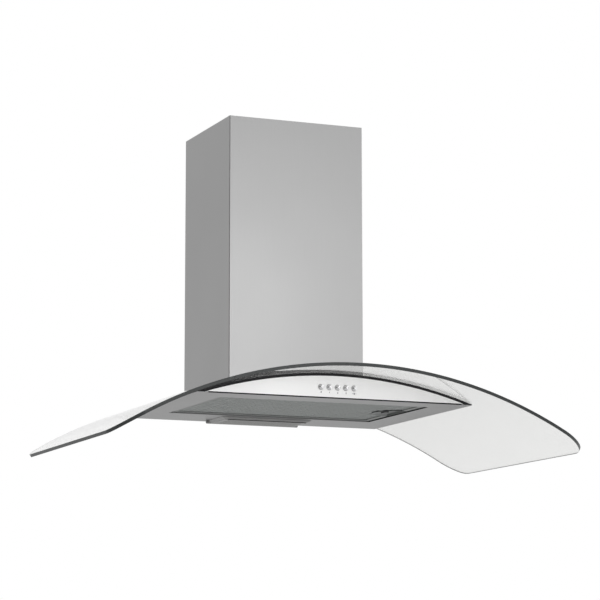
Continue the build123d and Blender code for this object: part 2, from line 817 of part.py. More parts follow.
guide_left_x = filter_edge_x - bolt_length + 2 * slide_gap
with BuildPart() as latch_guide:
    guide_width = bolt_width + 2 * (slide_gap + guide_sheet)
    with BuildSketch(Plane.XY.offset(floor_z + cup_sheet)):
        with Locations(((guide_left_x + filter_edge_x) / 2, filter_centre_y)):
            Rectangle(filter_edge_x - guide_left_x, guide_width)
    extrude(amount=guide_high - floor_z - cup_sheet)
    with BuildSketch(Plane.XY.offset(floor_z + cup_sheet)):
        with Locations(((guide_left_x + filter_edge_x) / 2, filter_centre_y)):
            Rectangle(filter_edge_x - guide_left_x, bolt_width + 2 * slide_gap)
    extrude(amount=guide_high - guide_sheet - floor_z - cup_sheet, mode=Mode.SUBTRACT)
save(latch_guide, "latch_guide")

with BuildPart() as filter_latch:
    bolt_end_x = filter_right_x - latch_reach
    with BuildSketch(Plane.XY.offset(bolt_low)):
        with Locations((bolt_end_x - bolt_length / 2, filter_centre_y)):
            Rectangle(bolt_length, bolt_width)
    extrude(amount=bolt_thick)
    with BuildSketch(Plane.XY.offset(filter_low + slide_gap)):
        with Locations((knob_x, filter_centre_y)):
            Rectangle(neck_width, neck_length)
    extrude(amount=bolt_low - filter_low)
    with BuildSketch(Plane.XY.offset(filter_low + slide_gap)):
        with Locations((knob_x, filter_centre_y)):
            SlotOverall(knob_length, knob_width, rotation=90)
    extrude(amount=cup_depth - 2 * slide_gap)
save(filter_latch, "filter_latch")

# ---------------------------------------------------------------- lamps

with BuildPart() as lamp_tray:
    tray_length = lamp_cover_width - 2 * lamp_lap + 2 * tray_sheet
    tray_depth = lamp_cover_depth - 2 * lamp_lap + 2 * tray_sheet
    with BuildSketch(Plane.XY.offset(pan_top)):
        with Locations((0, lamp_centre_y)):
            Rectangle(tray_length + 2 * tray_flange, tray_depth)
    extrude(amount=tray_sheet)
    with BuildSketch(Plane.XY.offset(pan_top)):
        with Locations((0, lamp_centre_y)):
            Rectangle(tray_length, tray_depth)
    extrude(amount=tray_height)
    with BuildSketch(Plane.XY.offset(pan_top)):
        with Locations((0, lamp_centre_y)):
            Rectangle(tray_length - 2 * tray_sheet, tray_depth - 2 * tray_sheet)
    extrude(amount=tray_height - tray_sheet, mode=Mode.SUBTRACT)
save(lamp_tray, "lamp_tray")

tray_end_x = tray_length / 2 - tray_sheet
lamp_planes = [
    Plane(
        origin=(side * tray_end_x, lamp_centre_y, lamp_axis_z),
        x_dir=(0, 1, 0),
        z_dir=(-side, 0, 0),
    )
    for side in (-1, 1)
]
with BuildPart() as lampholders:
    with BuildSketch(*lamp_planes):
        Circle(holder_r)
    extrude(amount=holder_length)
    with BuildSketch(*[plane.offset(holder_length) for plane in lamp_planes]):
        Circle(socket_r)
    extrude(amount=-socket_depth, mode=Mode.SUBTRACT)
save(lampholders, "lampholders")

with BuildPart() as lamp_caps:
    with BuildSketch(*[plane.offset(holder_length - socket_depth) for plane in lamp_planes]):
        Circle(bulb_cap_r)
    extrude(amount=bulb_cap_length)
save(lamp_caps, "lamp_caps")

with BuildPart() as lamp_bulbs:
    bulb_start = holder_length - socket_depth + bulb_cap_length
    with BuildSketch(*[plane.offset(bulb_start) for plane in lamp_planes]):
        Circle(bulb_r)
    extrude(amount=bulb_length)
    fillet(lamp_bulbs.edges().filter_by(GeomType.CIRCLE), radius=bulb_round)
save(lamp_bulbs, "lamp_bulbs")

with BuildPart() as cover_hollow:
    with BuildSketch(Plane.XY.offset(-lamp_gap)):
        with Locations((0, lamp_centre_y)):
            Rectangle(
                lamp_cover_width - 2 * lamp_lap,
                lamp_cover_depth - 2 * lamp_lap,
            )
    extrude(amount=-(lamp_cover_drop - lamp_gap - lamp_cover_wall))

with BuildPart() as lamp_cover:
    cover_rear_y = lamp_pivot_y
    cover_depth = cover_rear_y - lamp_front_y
    with BuildSketch(Plane.XY.offset(-lamp_gap)):
        with Locations((0, lamp_front_y + cover_depth / 2)):
            Rectangle(lamp_cover_width, cover_depth)
    with BuildSketch(Plane.XY.offset(-lamp_cover_drop)):
        with Locations((0, lamp_front_y + (cover_depth + lamp_cover_bevel) / 2)):
            Rectangle(
                lamp_cover_width - 2 * lamp_cover_bevel,
                cover_depth - lamp_cover_bevel,
            )
    loft()
    # rounded rear edge about the pivot, and its two pins
    barrel_r = lamp_ear_drop - lamp_gap
    with BuildSketch(Plane.YZ.offset(-lamp_cover_width / 2)):
        with Locations((lamp_pivot_y, lamp_pivot_z)):
            Circle(barrel_r)
    extrude(amount=lamp_cover_width)
    with BuildSketch(Plane.YZ.offset(-lamp_cover_width / 2 - lamp_pin_reach)):
        with Locations((lamp_pivot_y, lamp_pivot_z)):
            Circle(lamp_pin_r)
    extrude(amount=lamp_cover_width + 2 * lamp_pin_reach)
    add(cover_hollow.part, mode=Mode.SUBTRACT)
save(lamp_cover, "lamp_cover")

# ---------------------------------------------------------------- chimney


def channel(width, depth, sheet, rear_y, return_width):
    """Sketch of a folded sheet: front, two sides and two narrow returns along the wall."""
    with Locations((0, rear_y - depth / 2)):
        Rectangle(width, depth)
        Rectangle(width - 2 * sheet, depth - 2 * sheet, mode=Mode.SUBTRACT)
    with Locations((0, rear_y - sheet / 2)):
        Rectangle(width - 2 * return_width, 3 * sheet, mode=Mode.SUBTRACT)


with BuildPart() as chimney_cover:
    with BuildSketch(Plane.XY):
        channel(chimney_width, chimney_depth, chimney_sheet, 0, chimney_return)
    extrude(amount=chimney_top)
    with BuildSketch(Plane.XZ):
        with Locations((0, arch_axis_z)):
            Circle(glass_top_radius + chimney_glass_gap)
    extrude(amount=glass_depth, mode=Mode.SUBTRACT)
    angle_screw_x = chimney_width / 2 - chimney_return / 2
    angle_mid_z = angle_low + angle_height / 2
    with BuildSketch(Plane.XZ):
        with Locations((-angle_screw_x, angle_mid_z), (angle_screw_x, angle_mid_z)):
            Circle(screw_r)
    extrude(amount=chimney_sheet, mode=Mode.SUBTRACT)
save(chimney_cover, "chimney_cover")

# Angles that tie the cover's returns to the sides of the blower box
with BuildPart() as chimney_angles:
    angle_end_x = chimney_width / 2 - 2 * chimney_sheet
    with BuildSketch(Plane.XY.offset(angle_low)):
        for side in (-1, 1):
            with Locations(
                (side * (box_half + angle_sheet / 2), -chimney_sheet - angle_length / 2)
            ):
                Rectangle(angle_sheet, angle_length)
            with Locations(
                (side * (box_half + angle_end_x) / 2, -chimney_sheet - angle_sheet / 2)
            ):
                Rectangle(angle_end_x - box_half, angle_sheet)
    extrude(amount=angle_height)
    with BuildSketch(Plane.XZ):
        with Locations((-angle_screw_x, angle_mid_z), (angle_screw_x, angle_mid_z)):
            Circle(screw_r + screw_gap)
    extrude(amount=chimney_sheet + 2 * angle_sheet, mode=Mode.SUBTRACT)
save(chimney_angles, "chimney_angles")

with BuildPart() as chimney_screws:
    angle_seat_y = -chimney_sheet - angle_sheet
    with BuildSketch(Plane.XZ.offset(-angle_seat_y)):
        with Locations((-angle_screw_x, angle_mid_z), (angle_screw_x, angle_mid_z)):
            Circle(screw_head_r)
    extrude(amount=screw_head)
    with BuildSketch(Plane.XZ.offset(-angle_seat_y)):
        with Locations((-angle_screw_x, angle_mid_z), (angle_screw_x, angle_mid_z)):
            Circle(screw_r)
    extrude(amount=angle_seat_y)
save(chimney_screws, "chimney_screws")

upper_width = chimney_width - 2 * upper_inset
upper_rear_y = -upper_inset
upper_depth = chimney_depth - 2 * upper_inset
upper_top = chimney_top - upper_top_step
upper_flange_y = upper_rear_y - chimney_sheet       # front of the returns
bracket_low = upper_top - bracket_drop
bracket_mid_z = bracket_low + bracket_height / 2
flange_screw_x = upper_width / 2 - chimney_return / 2 - chimney_sheet / 2

with BuildPart() as chimney_upper:
    with BuildSketch(Plane.XY.offset(upper_bottom)):
        channel(upper_width, upper_depth, chimney_sheet, upper_rear_y, chimney_return)
    extrude(amount=upper_top - upper_bottom)
    vent_mid_z = upper_top - vent_drop - (vent_count - 1) * vent_pitch / 2
    with BuildSketch(Plane.YZ.offset(-upper_width / 2)):
        with Locations((upper_rear_y - upper_depth / 2, vent_mid_z)):
            with GridLocations(1, vent_pitch, 1, vent_count):
                SlotOverall(vent_length, vent_width)
    extrude(amount=upper_width, mode=Mode.SUBTRACT)
    with BuildSketch(Plane.XZ.offset(-upper_rear_y)):
        with Locations((-flange_screw_x, bracket_mid_z), (flange_screw_x, bracket_mid_z)):
            Circle(screw_r)
    extrude(amount=chimney_sheet, mode=Mode.SUBTRACT)
save(chimney_upper, "chimney_upper")

# Bracket: a strip on the wall whose ends step forward over the returns
with BuildPart() as chimney_bracket:
    web_x = upper_width / 2 - chimney_return - bracket_web_gap
    end_x = upper_width / 2 - 2 * chimney_sheet
    with BuildSketch(Plane.XY.offset(bracket_low)):
        with Locations((0, -bracket_sheet / 2)):
            Rectangle(2 * web_x, bracket_sheet)
        for side in (-1, 1):
            with Locations((side * web_x, (upper_flange_y - bracket_sheet) / 2)):
                Rectangle(bracket_sheet, bracket_sheet - upper_flange_y)
            with Locations((side * (web_x + end_x) / 2, upper_flange_y - bracket_sheet / 2)):
                Rectangle(end_x - web_x, bracket_sheet)
    extrude(amount=bracket_height)
    with BuildSketch(Plane.XZ):
        with Locations((-bracket_screw_x, bracket_mid_z), (bracket_screw_x, bracket_mid_z)):
            Circle(bracket_hole_r)
        with Locations((-flange_screw_x, bracket_mid_z), (flange_screw_x, bracket_mid_z)):
            Circle(screw_r + screw_gap)
    extrude(amount=bracket_sheet - 2 * upper_flange_y, mode=Mode.SUBTRACT)
save(chimney_bracket, "chimney_bracket")

with BuildPart() as bracket_screws:
    screw_seat_y = upper_flange_y - bracket_sheet
    with BuildSketch(Plane.XZ.offset(-screw_seat_y)):
        with Locations((-flange_screw_x, bracket_mid_z), (flange_screw_x, bracket_mid_z)):
            Circle(screw_head_r)
    extrude(amount=screw_head)
    with BuildSketch(Plane.XZ.offset(-screw_seat_y)):
        with Locations((-flange_screw_x, bracket_mid_z), (flange_screw_x, bracket_mid_z)):
            Circle(screw_r)
    extrude(amount=-(bracket_sheet + chimney_sheet))
save(bracket_screws, "bracket_screws")

# ---------------------------------------------------------------- blower box

hook_level_z = hanger_low + hook_level              # underside of the hooks
hook_top_z = hook_level_z + hook_sheet
grommet_x = box_half - grommet_side_gap
grommet_y = -(box_wall_gap + grommet_rear_gap)
scroll_half = scroll_width / 2
scroll_top = box_top - box_sheet - scroll_top_gap
lug_places = [
    (side * (scroll_half + lug_reach / 2), collar_y + along * lug_from_outlet)
    for side in (-1, 1)
    for along in (-1, 1)
]
collar_screw_places = [
    (collar_screw_r * cos(radians(angle)), collar_y + collar_screw_r * sin(radians(angle)))
    for angle in (45, 135, 225, 315)
]

with BuildPart() as box_hollow:
    with BuildSketch(Plane.XY):
        with Locations((0, box_centre_y)):
            Rectangle(box_width - 2 * box_sheet, box_depth - 2 * box_sheet)
    extrude(amount=box_top - box_sheet)
    with BuildSketch(Plane.XZ):
        with Locations((0, arch_axis_z)):
            Circle(plate_radius + box_sheet)
    extrude(amount=body_depth, mode=Mode.SUBTRACT)

with BuildPart() as blower_box:
    with BuildSketch(Plane.XY):
        with Locations((0, box_centre_y)):
            Rectangle(box_width, box_depth)
    extrude(amount=box_top)
    with BuildSketch(Plane.XZ):
        with Locations((0, arch_axis_z)):
            Circle(plate_radius)
    extrude(amount=body_depth, mode=Mode.SUBTRACT)
    add(box_hollow.part, mode=Mode.SUBTRACT)
    # air opening inside the bottom flange
    with BuildSketch(Plane.XY):
        with Locations((0, box_centre_y)):
            Rectangle(air_length, air_depth)
    extrude(amount=arch_height, mode=Mode.SUBTRACT)
    with BuildSketch(*[arch_plane(x, y, plate_radius) for x, y in box_screw_places]):
        Circle(screw_r + screw_gap)
    extrude(amount=3 * box_sheet, both=True, mode=Mode.SUBTRACT)
    # top: air outlet, cord grommet, scroll and collar screws
    with BuildSketch(Plane.XY.offset(box_top - box_sheet)):
        with Locations((0, collar_y)):
            Circle(collar_r - collar_wall)
        with Locations((grommet_x, grommet_y)):
            Circle(grommet_neck_r)
        with Locations(*(lug_places + collar_screw_places)):
            Circle(screw_r + screw_gap)
    extrude(amount=box_sheet, mode=Mode.SUBTRACT)
    # rear: slots for the wall bracket's hooks
    slot_height = hook_rise + hook_sheet + hook_slot_gap
    with BuildSketch(Plane.XZ.offset(box_wall_gap)):
        with Locations(
            (-hook_x, hook_top_z - slot_height / 2), (hook_x, hook_top_z - slot_height / 2)
        ):
            Rectangle(hook_width + 2 * hook_slot_gap, slot_height)
    extrude(amount=2 * box_sheet, mode=Mode.SUBTRACT)
save(blower_box, "blower_box")

# ---------------------------------------------------------------- scroll, wheel and motor


def scroll_outline(radius):
    """Volute in the YZ plane: three quarter arcs, a tongue and a flared outlet."""
    inset_wall = scroll_radius - radius
    y, z, step = scroll_axis_y, scroll_axis_z, scroll_step
    front = (y - radius, z)
    low = (y, z - radius)
    rear = (y + radius - step, z - step)
    tongue = (y + step, z + radius - 2 * step)
    rear_top = (collar_y + collar_r - inset_wall, scroll_top + inset_wall)
    front_top = (y - radius, scroll_top + inset_wall)
    middle = sqrt(0.5)
    second = radius - step
    third = radius - 2 * step
    with BuildSketch(Plane.YZ) as outline:
        with BuildLine():
            ThreePointArc(front, (y - radius * middle, z - radius * middle), low)
            ThreePointArc(low, (y + second * middle, z - step - second * middle), rear)
            ThreePointArc(rear, (y + step + third * middle, z - step + third * middle), tongue)
            Polyline(tongue, rear_top, front_top, front)
        make_face()
    return outline.sketch


def scroll_shell(side):
    """Half of the scroll, from its middle joint to the inlet wall on this side."""
    with BuildPart() as shell:
        extrude(scroll_outline(scroll_radius), amount=side * scroll_half)
        extrude(
            scroll_outline(scroll_radius - scroll_wall),
            amount=side * (scroll_half - scroll_wall),
            mode=Mode.SUBTRACT,
        )
        with BuildSketch(Plane.YZ):
            with Locations((scroll_axis_y, scroll_axis_z)):
                Circle(inlet_r)
        extrude(amount=side * scroll_half, mode=Mode.SUBTRACT)
        own_lugs = [place for place in lug_places if place[0] * side > 0]
        with BuildSketch(Plane.XY.offset(scroll_top - lug_thick)):
            with Locations(*own_lugs):
                Rectangle(lug_reach, lug_width)
                Circle(screw_r, mode=Mode.SUBTRACT)
        extrude(amount=lug_thick)
    return shell


save(scroll_shell(-1), "scroll_left")
save(scroll_shell(1), "scroll_right")

with BuildPart() as impeller:
    for side in (-1, 1):
        with BuildSketch(Plane.YZ.offset(side * (wheel_width / 2 - wheel_ring / 2))):
            with Locations((scroll_axis_y, scroll_axis_z)):
                Circle(wheel_r)
                Circle(wheel_inner_r, mode=Mode.SUBTRACT)
        extrude(amount=wheel_ring / 2, both=True)
    with BuildSketch(Plane.YZ):
        with Locations((scroll_axis_y, scroll_axis_z)):
            Circle(wheel_r)
    extrude(amount=wheel_disc / 2, both=True)
    with BuildSketch(Plane.YZ.offset(-wheel_width / 2)):
        with Locations((scroll_axis_y, scroll_axis_z)):
            with PolarLocations((wheel_r + wheel_inner_r) / 2, blade_count):
                Rectangle(
                    wheel_r - wheel_inner_r - blade_edge_gap, blade_thick, rotation=blade_angle
                )
    extrude(amount=wheel_width)
    with BuildSketch(Plane.YZ.offset(-hub_left)):
        with Locations((scroll_axis_y, scroll_axis_z)):
            Circle(hub_r)
    extrude(amount=hub_left + hub_right)
    with BuildSketch(Plane.YZ.offset(-hub_left)):
        with Locations((scroll_axis_y, scroll_axis_z)):
            Circle(shaft_r)
    extrude(amount=hub_left + hub_right, mode=Mode.SUBTRACT)
save(impeller, "impeller")

motor_rear_x = scroll_half      # the motor hangs on the bracket outside the inlet
motor_length = motor_rear_x - hub_right - motor_hub_gap
with BuildPart() as motor_shaft:
    with BuildSketch(Plane.YZ.offset(-shaft_left)):
        with Locations((scroll_axis_y, scroll_axis_z)):
            Circle(shaft_r)
    extrude(amount=shaft_left + motor_rear_x - motor_step / 2)
save(motor_shaft, "motor_shaft")

with BuildPart() as impeller_nut:
    with BuildSketch(Plane.YZ.offset(-hub_left - nut_height)):
        with Locations((scroll_axis_y, scroll_axis_z)):
            RegularPolygon(nut_flats / 2, 6, major_radius=False)
            Circle(shaft_r, mode=Mode.SUBTRACT)
    extrude(amount=nut_height)
save(impeller_nut, "impeller_nut")

with BuildPart() as motor_case:
    with BuildSketch(Plane.YZ.offset(motor_rear_x)):
        with Locations((scroll_axis_y, scroll_axis_z)):
            Circle(motor_r)
    extrude(amount=-(motor_length - motor_step))
    with BuildSketch(Plane.YZ.offset(motor_rear_x - motor_length)):
        with Locations((scroll_axis_y, scroll_axis_z)):
            Circle(motor_step_r)
    extrude(amount=motor_step)
    fillet(
        motor_case.edges().filter_by(GeomType.CIRCLE).group_by(Axis.X)[0], radius=motor_round
    )
    with BuildSketch(Plane.YZ.offset(motor_rear_x - motor_length)):
        with Locations((scroll_axis_y, scroll_axis_z)):
            Circle(shaft_r + shaft_gap)
    extrude(amount=motor_length, mode=Mode.SUBTRACT)
save(motor_case, "motor_case")

spider_ring_mid = inlet_r + spider_ring / 2
with BuildPart() as motor_bracket:
    with BuildSketch(Plane.YZ.offset(motor_rear_x)):
        with Locations((scroll_axis_y, scroll_axis_z)):
            Circle(inlet_r + spider_ring)
            Circle(inlet_r, mode=Mode.SUBTRACT)
            Circle(spider_disc_r)
            with PolarLocations((spider_disc_r + inlet_r) / 2, spider_arms, start_angle=90):
                Rectangle(inlet_r - spider_disc_r + spider_arm, spider_arm)
            with PolarLocations(spider_ring_mid, spider_arms, start_angle=90):
                Circle(screw_r + screw_gap, mode=Mode.SUBTRACT)
    extrude(amount=spider_sheet)
save(motor_bracket, "motor_bracket")

# ---------------------------------------------------------------- capacitor, terminal box, grommet

capacitor_x = -(box_inner_half - capacitor_gap - capacitor_r)
capacitor_y = -(box_wall_gap + box_sheet + capacitor_rear_gap + capacitor_r)

with BuildPart() as capacitor:
    with BuildSketch(Plane.XY.offset(capacitor_low)):
        with Locations((capacitor_x, capacitor_y)):
            Circle(capacitor_r)
    extrude(amount=capacitor_height)
    fillet(capacitor.edges().filter_by(GeomType.CIRCLE), radius=capacitor_round)
save(capacitor, "capacitor")

with BuildPart() as capacitor_clip:
    clip_low = capacitor_low + capacitor_height / 2 - clip_height / 2
    with BuildSketch(Plane.XY.offset(clip_low)):
        with Locations((capacitor_x, capacitor_y)):
            Circle(capacitor_r + clip_sheet)
            Circle(capacitor_r, mode=Mode.SUBTRACT)
        tab_length = capacitor_gap - clip_sheet / 2
        with Locations((-box_inner_half + tab_length / 2, capacitor_y)):
            Rectangle(tab_length, clip_tab)
    extrude(amount=clip_height)
save(capacitor_clip, "capacitor_clip")

terminal_y = -(box_wall_gap + box_sheet + terminal_rear_gap + terminal_width / 2)
terminal_mid_z = terminal_low + terminal_height / 2
with BuildPart() as terminal_box:
    with BuildSketch(Plane.YZ.offset(box_inner_half)):
        with Locations((terminal_y, terminal_mid_z)):
            Rectangle(terminal_width, terminal_height)
    extrude(amount=-terminal_thick)
    with BuildSketch(Plane.YZ.offset(box_inner_half - terminal_wall)):
        with Locations((terminal_y, terminal_mid_z)):
            Rectangle(terminal_width - 2 * terminal_wall, terminal_height - 2 * terminal_wall)
    extrude(amount=-(terminal_thick - terminal_wall), mode=Mode.SUBTRACT)
save(terminal_box, "terminal_box")

terminal_face_x = box_inner_half - terminal_thick
with BuildPart() as terminal_lid:
    with BuildSketch(Plane.YZ.offset(terminal_face_x)):
        with Locations((terminal_y, terminal_mid_z)):
            Rectangle(terminal_width, terminal_height)
    extrude(amount=-lid_sheet)
save(terminal_lid, "terminal_lid")

with BuildPart() as cord_grommet:
    with BuildSketch(Plane.XY.offset(box_top - box_sheet - grommet_flange)):
        with Locations((grommet_x, grommet_y)):
            Circle(grommet_flange_r)
    extrude(amount=grommet_flange)
    with BuildSketch(Plane.XY.offset(box_top)):
        with Locations((grommet_x, grommet_y)):
            Circle(grommet_flange_r)
    extrude(amount=grommet_flange)
    with BuildSketch(Plane.XY.offset(box_top - box_sheet)):
        with Locations((grommet_x, grommet_y)):
            Circle(grommet_neck_r)
    extrude(amount=box_sheet)
    with BuildSketch(Plane.XY.offset(box_top - box_sheet - grommet_flange)):
        with Locations((grommet_x, grommet_y)):
            Circle(grommet_bore_r)
    extrude(amount=box_sheet + 2 * grommet_flange, mode=Mode.SUBTRACT)
save(cord_grommet, "cord_grommet")

# ---------------------------------------------------------------- outlet collar and flaps

collar_inner_r = collar_r - collar_wall
flap_axis_z = box_top + flap_axis_rise
flap_r = collar_inner_r - flap_edge_gap

with BuildPart() as outlet_collar:
    with BuildSketch(Plane.XY.offset(box_top)):
        with Locations((0, collar_y)):
            Circle(collar_flange_r)
    extrude(amount=collar_flange)
    with BuildSketch(Plane.XY.offset(box_top)):
        with Locations((0, collar_y)):
            Circle(collar_r)
    extrude(amount=collar_height)
    with BuildSketch(Plane.XY.offset(box_top)):
        with Locations((0, collar_y)):
            Circle(collar_inner_r)
    extrude(amount=collar_height, mode=Mode.SUBTRACT)
    # ledges that the closed flaps rest on
    stop_top = flap_axis_z - flap_sheet / 2 - flap_stop_gap
    with BuildSketch(Plane.XY.offset(stop_top - flap_stop_thick)):
        for along in (-1, 1):
            with Locations((0, collar_y + along * (collar_inner_r - flap_stop_reach / 2))):
                Rectangle(flap_stop_width, flap_stop_reach + collar_wall)
    extrude(amount=flap_stop_thick)
    with BuildSketch(Plane.YZ.offset(-collar_r)):
        with Locations((collar_y, flap_axis_z)):
            Circle(flap_pin_r)
    extrude(amount=2 * collar_r, mode=Mode.SUBTRACT)
    with BuildSketch(Plane.XY.offset(box_top)):
        with Locations(*collar_screw_places):
            Circle(screw_r + screw_gap)
    extrude(amount=collar_flange, mode=Mode.SUBTRACT)
save(outlet_collar, "outlet_collar")

with BuildPart() as flap_pin:
    with BuildSketch(Plane.YZ.offset(-collar_r + collar_wall / 2)):
        with Locations((collar_y, flap_axis_z)):
            Circle(flap_pin_r)
    extrude(amount=2 * collar_r - collar_wall)
save(flap_pin, "flap_pin")


def flap(along):
    """Half-round flap on one side of the pin, with two of the four knuckles."""
    knuckle_pitch = knuckle_length + knuckle_play
    starts = [-2 * knuckle_pitch, 0] if along < 0 else [-knuckle_pitch, knuckle_pitch]
    starts = [start + knuckle_play / 2 for start in starts]
    plate_edge = knuckle_r + knuckle_play
    with BuildPart() as leaf:
        with BuildSketch(Plane.XY.offset(flap_axis_z - flap_sheet / 2)):
            with Locations((0, collar_y)):
                Circle(flap_r)
            with Locations((0, collar_y - along * (flap_r - plate_edge))):
                Rectangle(2 * flap_r, 2 * flap_r, mode=Mode.SUBTRACT)
            for start in starts:
                with Locations((start + knuckle_length / 2, collar_y + along * plate_edge / 2)):
                    Rectangle(knuckle_length, plate_edge)
        extrude(amount=flap_sheet)
        for start in starts:
            with BuildSketch(Plane.YZ.offset(start)):
                with Locations((collar_y, flap_axis_z)):
                    Circle(knuckle_r)
            extrude(amount=knuckle_length)
        with BuildSketch(Plane.YZ.offset(-collar_r)):
            with Locations((collar_y, flap_axis_z)):
                Circle(flap_pin_r + knuckle_gap)
        extrude(amount=2 * collar_r, mode=Mode.SUBTRACT)
    return leaf


save(flap(-1), "flap_front")
save(flap(1), "flap_rear")

# ---------------------------------------------------------------- screws of the blower

top_screw_seats = [Plane((x, y, box_top)) for x, y in lug_places]
top_screw_seats += [Plane((x, y, box_top + collar_flange)) for x, y in collar_screw_places]
box_screw_seats = [
    arch_plane(x, y, plate_radius + box_sheet) for x, y in box_screw_places
]
motor_screw_seats = [
    Plane(
        origin=(
            motor_rear_x + spider_sheet,
            scroll_axis_y + spider_ring_mid * cos(radians(angle)),
            scroll_axis_z + spider_ring_mid * sin(radians(angle)),
        ),
        x_dir=(0, 1, 0),
        z_dir=(1, 0, 0),
    )
    for angle in [90 + 360 * arm / spider_arms for arm in range(spider_arms)]
]
with BuildPart() as blower_screws:
    with BuildSketch(*top_screw_seats, *box_screw_seats, *motor_screw_seats):
        Circle(screw_head_r)
    extrude(amount=screw_head)
    with BuildSketch(*top_screw_seats, *box_screw_seats):
        Circle(screw_r)
    extrude(amount=-screw_length)
save(blower_screws, "blower_screws")

# ---------------------------------------------------------------- wall bracket

with BuildPart() as wall_bracket:
    with BuildSketch(Plane.XZ):
        with Locations((0, hanger_low + hanger_height / 2)):
            Rectangle(hanger_width, hanger_height)
        with Locations(
            (-hanger_screw_x, hanger_low + hanger_height / 2),
            (hanger_screw_x, hanger_low + hanger_height / 2),
        ):
            Circle(hanger_hole_r, mode=Mode.SUBTRACT)
    extrude(amount=hanger_sheet)
    hook_end_y = -(box_wall_gap + box_sheet + hook_slot_gap + hook_sheet)
    for side in (-1, 1):
        with BuildSketch(Plane.YZ.offset(side * hook_x - hook_width / 2)):
            with Locations(((hook_end_y - hanger_sheet) / 2, hook_level_z + hook_sheet / 2)):
                Rectangle(-hook_end_y - hanger_sheet, hook_sheet)
            with Locations(
                (hook_end_y + hook_sheet / 2, hook_level_z + (hook_sheet + hook_rise) / 2)
            ):
                Rectangle(hook_sheet, hook_sheet + hook_rise)
        extrude(amount=hook_width)
save(wall_bracket, "wall_bracket")

# ---------------------------------------------------------------- wiring from the switches

loom_x = (scroll_half + box_inner_half) / 2
loom_rise_y = box_centre_y - air_depth / 4
loom_end_y = terminal_y - terminal_width / 2
loom_start_x = housing_half / 2
loom_points = [
    (loom_start_x, housing_rear_y, loom_height),
    (loom_start_x, housing_rear_y + 2 * loom_bend, loom_height),
    (loom_x, loom_rise_y, loom_height),
    (loom_x, loom_rise_y, terminal_mid_z),
    (loom_x, loom_end_y, terminal_mid_z),
]
with BuildPart() as wiring_loom:
    with BuildLine():
        FilletPolyline(*loom_points, radius=loom_bend)
    with BuildSketch(Plane(origin=loom_points[0], z_dir=(0, 1, 0))):
        Circle(loom_r)
    sweep()
save(wiring_loom, "wiring_loom")
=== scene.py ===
"""Arched glass chimney hood: finishes, fine pieces and studio, laid out as an add-on."""
import json
from math import asin, cos, pi, radians, sin, sqrt

import bmesh
import bpy
from bpy.props import FloatProperty, FloatVectorProperty, PointerProperty
from mathutils import Matrix, Vector


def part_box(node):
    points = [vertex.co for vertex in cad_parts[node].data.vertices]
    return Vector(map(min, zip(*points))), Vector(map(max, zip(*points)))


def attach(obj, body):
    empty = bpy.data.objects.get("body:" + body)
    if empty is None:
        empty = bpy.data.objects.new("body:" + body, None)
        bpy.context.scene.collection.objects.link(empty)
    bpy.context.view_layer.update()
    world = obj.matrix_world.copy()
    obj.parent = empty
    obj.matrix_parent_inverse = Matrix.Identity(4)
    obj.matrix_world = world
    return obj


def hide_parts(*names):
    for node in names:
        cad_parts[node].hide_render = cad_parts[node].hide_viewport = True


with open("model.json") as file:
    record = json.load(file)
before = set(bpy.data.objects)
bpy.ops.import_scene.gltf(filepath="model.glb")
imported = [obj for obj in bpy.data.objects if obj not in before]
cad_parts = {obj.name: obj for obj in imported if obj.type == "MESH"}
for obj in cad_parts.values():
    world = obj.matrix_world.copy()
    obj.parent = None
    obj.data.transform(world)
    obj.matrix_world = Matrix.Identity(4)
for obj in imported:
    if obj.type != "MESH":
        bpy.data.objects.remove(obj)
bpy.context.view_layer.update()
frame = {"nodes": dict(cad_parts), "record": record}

bl_info = {
    "name": "Arched Glass Chimney Hood",
    "version": (1, 0, 0),
    "blender": (4, 5, 0),
    "location": "View3D > Sidebar > Hood",
    "description": "Dresses the hood's metal frame with its glass, steel, filter and studio",
    "category": "Object",
}

GLASS_LOW, GLASS_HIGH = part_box("glass_canopy")
FASCIA_LOW, FASCIA_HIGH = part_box("fascia")
BOX_LOW, BOX_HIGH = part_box("blower_box")
BUTTONS = [f"button_{number}" for number in range(1, 6)]
MM = 0.001


# ---------------------------------------------------------------- settings


def colour(name, description, default):
    """A colour setting."""
    return FloatVectorProperty(
        name=name, description=description, default=default, min=0.0, max=1.0, subtype="COLOR"
    )


def length(name, description, millimetres):
    """A length setting, given in millimetres and kept in metres."""
    return FloatProperty(
        name=name, description=description, default=millimetres * MM, unit="LENGTH", precision=4
    )


def plain_number(name, description, default):
    """A setting without a unit, from zero up."""
    return FloatProperty(name=name, description=description, default=default, min=0.0)


